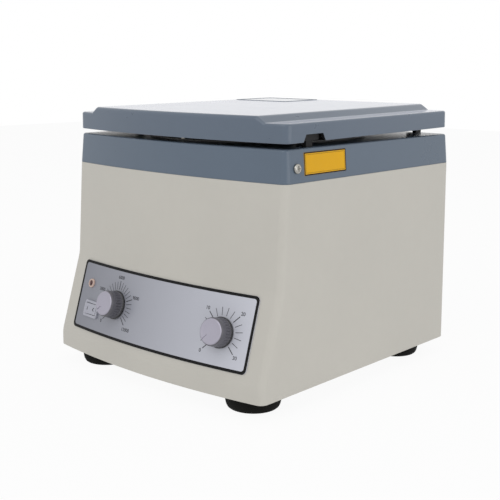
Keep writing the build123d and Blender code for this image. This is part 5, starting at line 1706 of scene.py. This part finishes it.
@dataclass
class Rocker:
    """Power rocker, tilted to its off side, with a plain stroke and ring on its two ends."""

    form: Form
    across: float = ROCKER_PLACE[0]
    drop: float = ROCKER_PLACE[1]
    half: float = 7.6
    peak: float = 4.2
    dip: float = 3.2
    edge: float = 0.5
    root: float = 3.0
    width: float = 10.0
    tilt: float = 10.0

    @property
    def frame(self) -> np.ndarray:
        """Frame of the tilted rocker: the front's frame turned about its own Y."""
        frame = self.form.front_frame(self.across, self.drop)
        return frame @ np.array(Matrix.Rotation(math.radians(self.tilt), 4, "Y"))

    def body(self) -> bpy.types.Object:
        """The rocker: its dished top and wedge-shaped root carried across, narrowed at both ends."""
        share = np.linspace(-1, 1, 21)
        top = np.column_stack((share * self.half, self.dip + (self.peak - self.dip) * share**2))
        side = np.array(((self.half + 0.02, self.peak - 0.5), (self.half, self.edge), (0.0, -self.root)))
        other = np.array(((-self.half, self.edge), (-self.half - 0.02, self.peak - 0.5)))
        loop = np.concatenate((top, side, other))
        near_end = np.array(((-0.5, 0.95), (-0.47, 0.985), (-0.44, 1.0)))
        stations = np.concatenate((near_end, near_end[::-1] * (-1, 1)))
        middle = np.array((0.0, 0.5))
        rings = [
            np.column_stack((section[:, 0], np.full(len(loop), place * (self.width - 0.4)), section[:, 1]))
            for place, shrink in stations
            for section in (middle + (loop - middle) * shrink,)
        ]
        return surface("rocker_body", [(placed(np.stack(rings), self.frame), False, True)], smooth=40.0)

    def build(self) -> list[bpy.types.Object]:
        """Build the rocker and its two marks."""
        body = self.body()
        dress(body, ROCKER_IVORY)
        high = self.dip + (self.peak - self.dip) * 0.3
        stroke = rounded_box(0.5, 3.0, 0.12, 3) + (-4.2, 0.0)
        bar = prism("mark_on", stroke, high - 0.2, high + 0.12, self.frame)
        outer, inner = circle(1.5, 32, (4.2, 0.0)), circle(1.05, 32, (4.2, 0.0))
        loop = np.stack(
            (
                at_level(outer, high - 0.2),
                at_level(outer, high + 0.12),
                at_level(inner, high + 0.12),
                at_level(inner, high - 0.2),
            )
        )
        ring = surface("mark_off", [(placed(loop, self.frame), True, True)])
        marks = joined("rocker_marks", [bar, ring])
        dress(marks, PRINT_GREY)
        for piece in (body, marks):
            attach(piece, "rocker")
        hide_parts("power_rocker")
        return [body, marks]


@dataclass
class PilotLamp:
    """Pilot lamp: a moulded ring round a small domed lens."""

    form: Form
    across: float = LAMP_PLACE[0]
    drop: float = LAMP_PLACE[1]
    ring_radius: float = 4.2
    bore: float = 2.6
    seat: float = 1.1

    def build(self) -> list[bpy.types.Object]:
        """Build the ring and the lens."""
        frame = self.form.front_frame(self.across, self.drop)
        seat, ring = self.seat, self.ring_radius
        profile = (
            (self.bore, seat - 7.0),
            (self.bore + 0.45, seat - 7.0),
            (self.bore + 0.45, seat),
            (ring, seat),
            (ring, seat + 0.7),
            (ring - 0.15, seat + 1.2),
            (ring - 0.5, seat + 1.6),
            (ring - 0.9, seat + 1.75),
            (ring - 1.25, seat + 1.7),
            (self.bore + 0.1, seat + 1.4),
            (self.bore, seat + 1.2),
        )
        bezel = turned("lamp_bezel_ring", profile, frame, 48, 50.0)
        dress(bezel, LAMP_RING)
        reach = self.bore - 0.03
        turn = np.linspace(np.pi / 2, 0, 8)
        dome = [(reach * math.cos(angle), seat + 0.9 + 1.0 * math.sin(angle)) for angle in turn]
        lens = turned("lamp_lens_dome", (*dome, (reach, seat - 6.5), (0.0, seat - 6.5)), frame, 40, 50.0)
        dress(lens, LAMP_LENS)
        for piece in (bezel, lens):
            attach(piece, "base")
        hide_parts("lamp_bezel")
        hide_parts("lamp_lens")
        return [bezel, lens]


@dataclass
class Feet:
    """Four rubber disc feet with a rounded lower edge, a moulded ring and a screw well."""

    form: Form
    height: float = 15.0
    radius: float = 23.8
    side: float = 94.0
    rear_inset: float = 36.0
    front_place: float = 29.0

    def build(self) -> list[bpy.types.Object]:
        """Build the four feet as one piece."""
        form, radius, height = self.form, self.radius, self.height
        front = form.front - form.run - form.lean + self.front_place
        profile = (
            (1.5, height),
            (1.5, 11.0),
            (3.25, 11.0),
            (3.25, 0.3),
            (3.6, 0.0),
            (13.0, 0.0),
            (13.4, 0.5),
            (14.6, 0.5),
            (15.0, 0.0),
            (radius - 3.8, 0.0),
            (radius - 2.8, 0.3),
            (radius - 1.7, 1.2),
            (radius - 0.8, 3.0),
            (radius - 0.2, 5.5),
            (radius, 7.2),
            (radius, 9.0),
            (radius - 0.3, 11.5),
            (radius - 1.2, 13.6),
            (radius - 2.3, height),
        )
        feet = []
        for x in (-self.side, self.side):
            for y in (front, form.rear - self.rear_inset):
                feet.append(turned("foot", profile, frame_of((x, y, 0.0)), 72, 40.0))
        made = joined("rubber_disc_feet", feet)
        dress(made, FOOT_RUBBER)
        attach(made, "base")
        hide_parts("rubber_feet")
        return [made]


@dataclass
class CarriedOver:
    """Finishes for the CAD nodes that keep their own mesh."""

    nodes: dict[str, bpy.types.Object]
    rotor: tuple[float, float, float]

    def turned_metal(self, kind: type[Finish], name: str, slot: str, colour: tuple, scale: float) -> Finish:
        """Spun or turned metal about the rotor's axis."""
        return kind(
            name,
            slot,
            colour,
            roughness=0.3,
            metallic=1.0,
            grain=Grain.TURNED,
            grain_scale=scale,
            grain_depth=0.00002,
            grain_strength=0.25,
            tint=0.05,
            wear=0.0,
            dust=0.05,
            centre=self.rotor,
        )

    def table(self) -> dict[Finish, tuple[str, ...]]:
        """Which nodes take which finish."""
        spun = self.turned_metal(BowlFinish, "spun_steel", "spun_steel", linear(190, 190, 188), 900.0)
        machined = self.turned_metal(Finish, "turned_aluminium", "rotor_metal", linear(206, 207, 210), 2200.0)
        return {
            spun: ("chamber_bowl",),
            machined: ("rotor_disc", "rotor_cover", "rotor_hub", "cover_nut"),
            FOOT_RUBBER: ("rubber_dampers", "shaft_boot"),
            SEAL_RUBBER: ("lid_gasket", "rotor_seal"),
            SCREW_NICKEL: ("deck_screws", "deck_fasteners", "inlet_screws", "liner_screws", "base_screws"),
            ZINC_STEEL: (
                "floor_plate",
                "motor_plate",
                "motor_bolts",
                "mount_posts",
                "motor_bearings",
                "motor_shaft",
                "panel_nuts",
                "hinge_pins",
                "latch_keeper",
                "speed_spindle",
                "timer_spindle",
                "board_standoffs",
            ),
            # The lid liner takes the painted shade of the gap.
            LINER_PAINTED_SHADE: ("lid_liner",),
            ROCKER_IVORY: ("rocker_frame",),
            BLACK_MOULDED: (
                "power_inlet",
                "fuse_drawer",
                "lid_switch",
                "switch_plunger",
                "switch_striker",
                "hinge_ears",
                "hinge_arms",
                "latch_guide",
                "latch_slider",
                "timer_mechanism",
                "speed_potentiometer",
            ),
            MOTOR_ENAMEL: ("motor_housing", "motor_end_cap"),
            CORE_STEEL: ("field_stack", "armature", "motor_brushes"),
            BOARD_GREEN: ("control_board",),
            CONTACT_BRASS: ("inlet_blades",),
        }

    def build(self) -> int:
        """Dress every carried-over node.

        Returns:
            How many nodes were dressed.
        """
        count = 0
        for finish, names in self.table().items():
            for name in names:
                dress(self.nodes[name], finish)
                count += 1
        return count


# Stage


@dataclass
class Studio:
    """Pale floor, white surroundings, soft lamps and the camera at the photograph's viewpoint."""

    middle: float
    camera_x: float = 612.71
    camera_y: float = -702.06
    camera_z: float = 286.93
    yaw: float = -41.603
    pitch: float = -7.539
    roll: float = 0.345
    focal_pixels: float = 963.14
    centre_x: float = 257.47
    centre_y: float = 188.17
    frame_pixels: float = 500.0
    surround: float = 0.58
    floor_glow: float = 0.93
    floor_bounce: float = 0.5

    def floor(self) -> bpy.types.Object:
        """Floor: plain matt white that keeps the shadow and glows a little for the camera."""
        span = np.array((-3000.0, 3000.0))
        x, y = np.meshgrid(span, span)
        made = surface("floor", [(np.stack((x, y, np.full_like(x, -0.2)), axis=-1), False, False)])
        material, tree = blank_material("floor_white")
        matt = node(tree, "ShaderNodeBsdfDiffuse", {"Color": (0.9, 0.9, 0.9, 1.0)})
        glow = node(tree, "ShaderNodeEmission", {"Color": (1.0, 1.0, 1.0, 1.0), "Strength": 1.0})
        seen = node(tree, "ShaderNodeLightPath").outputs["Is Camera Ray"]
        share = spread(tree, seen, self.floor_bounce, self.floor_glow)
        mixed = node(tree, "ShaderNodeMixShader", {0: share, 1: matt.outputs[0], 2: glow.outputs[0]})
        node(tree, "ShaderNodeOutputMaterial", {"Surface": mixed.outputs[0]})
        made.data.materials.append(material)
        return made

    def surroundings(self) -> None:
        """World: white to the camera and in reflections, and a plain soft light for everything else."""
        world = bpy.data.worlds.new("studio")
        bpy.context.scene.world = world
        world.use_nodes = True
        tree = world.node_tree
        tree.nodes.clear()
        path = node(tree, "ShaderNodeLightPath")
        seen = math_node(tree, "MAXIMUM", path.outputs["Is Camera Ray"], path.outputs["Is Glossy Ray"])
        seen = math_node(tree, "MAXIMUM", seen, path.outputs["Is Transmission Ray"])
        soft = node(tree, "ShaderNodeBackground", {"Color": (1.0, 1.0, 1.0, 1.0), "Strength": self.surround})
        white = node(tree, "ShaderNodeBackground", {"Color": (1.0, 1.0, 1.0, 1.0), "Strength": 1.0})
        mixed = node(tree, "ShaderNodeMixShader", {0: seen, 1: soft.outputs[0], 2: white.outputs[0]})
        node(tree, "ShaderNodeOutputWorld", {"Surface": mixed.outputs[0]})

    def lamp(
        self, name: str, place: Sequence[float], aim: Sequence[float], size: float, power: float
    ) -> None:
        """Add a square area lamp at a place in metres, aimed at a point."""
        light = bpy.data.lights.new(name, "AREA")
        light.shape, light.size, light.energy = "SQUARE", size, power
        made = bpy.data.objects.new(name, light)
        turn = (Vector(place) - Vector(aim)).to_track_quat("Z", "Y")
        made.matrix_world = Matrix.Translation(place) @ turn.to_matrix().to_4x4()
        bpy.context.scene.collection.objects.link(made)

    def camera(self) -> None:
        """Camera at the fitted viewpoint: right, up and backward axes from yaw, pitch and roll."""
        yaw, pitch, roll = (math.radians(angle) for angle in (self.yaw, self.pitch, self.roll))
        forward = Vector((math.sin(yaw) * math.cos(pitch), math.cos(yaw) * math.cos(pitch), math.sin(pitch)))
        level = Vector((math.cos(yaw), -math.sin(yaw), 0.0))
        upright = level.cross(forward)
        right = math.cos(roll) * level + math.sin(roll) * upright
        up = -math.sin(roll) * level + math.cos(roll) * upright
        data = bpy.data.cameras.new("viewpoint")
        data.sensor_width = 36.0
        data.lens = self.focal_pixels * 36.0 / self.frame_pixels
        data.shift_x = 0.5 - self.centre_x / self.frame_pixels
        data.shift_y = self.centre_y / self.frame_pixels - 0.5
        data.clip_start, data.clip_end = 0.01, 20.0
        made = bpy.data.objects.new("viewpoint", data)
        place = Vector((self.camera_x, self.camera_y + self.middle, self.camera_z)) * MM
        turn = Matrix((right, up, -forward)).transposed().to_4x4()
        made.matrix_world = Matrix.Translation(place) @ turn
        bpy.context.scene.collection.objects.link(made)
        bpy.context.scene.camera = made

    def build(self) -> None:
        """Set up floor, world, lamps and camera."""
        self.floor()
        self.surroundings()
        centre = (0.0, 0.0, 0.12)
        self.lamp("key", (0.25, -1.4, 1.3), centre, 1.4, 7.0)
        self.lamp("fill", (1.6, 0.2, 0.3), centre, 1.2, 5.0)
        self.lamp("top", (0.0, 0.3, 1.9), centre, 1.6, 3.0)
        self.camera()


def main() -> None:
    logging.basicConfig(level=logging.INFO, format="%(name)s: %(message)s")
    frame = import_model()
    bpy.context.scene.view_settings.view_transform = "Standard"
    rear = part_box("cabinet_shell")[1].y / MM
    form = Form(rear=rear)
    lid = Lid(form)
    stem_y = form.front + lid.setback + lid.notch_y
    deck = Deck(form, slot=(118.55, 124.55, stem_y - 11.0, stem_y + 5.0))
    assemblies = (
        Cabinet(form),
        deck,
        lid,
        LidPlate(lid),
        SidePlate(form),
        FrontPanel(form),
        Knob(form, "speed", "speed_control", *SPEED_PLACE),
        Knob(form, "timer", "timer_control", *TIMER_PLACE),
        Rocker(form),
        PilotLamp(form),
        Feet(form),
    )
    for assembly in assemblies:
        made = assembly.build()
        pieces = made if isinstance(made, list) else [made]
        for piece in pieces:
            log.info("%s: %d faces", piece.name, len(piece.data.polygons))
    rotor = (0.0, form.rotor_y * MM, 0.0)
    log.info("%d carried-over nodes dressed", CarriedOver(frame["nodes"], rotor).build())
    Studio(form.middle).build()


if __name__ == "__main__":
    main()
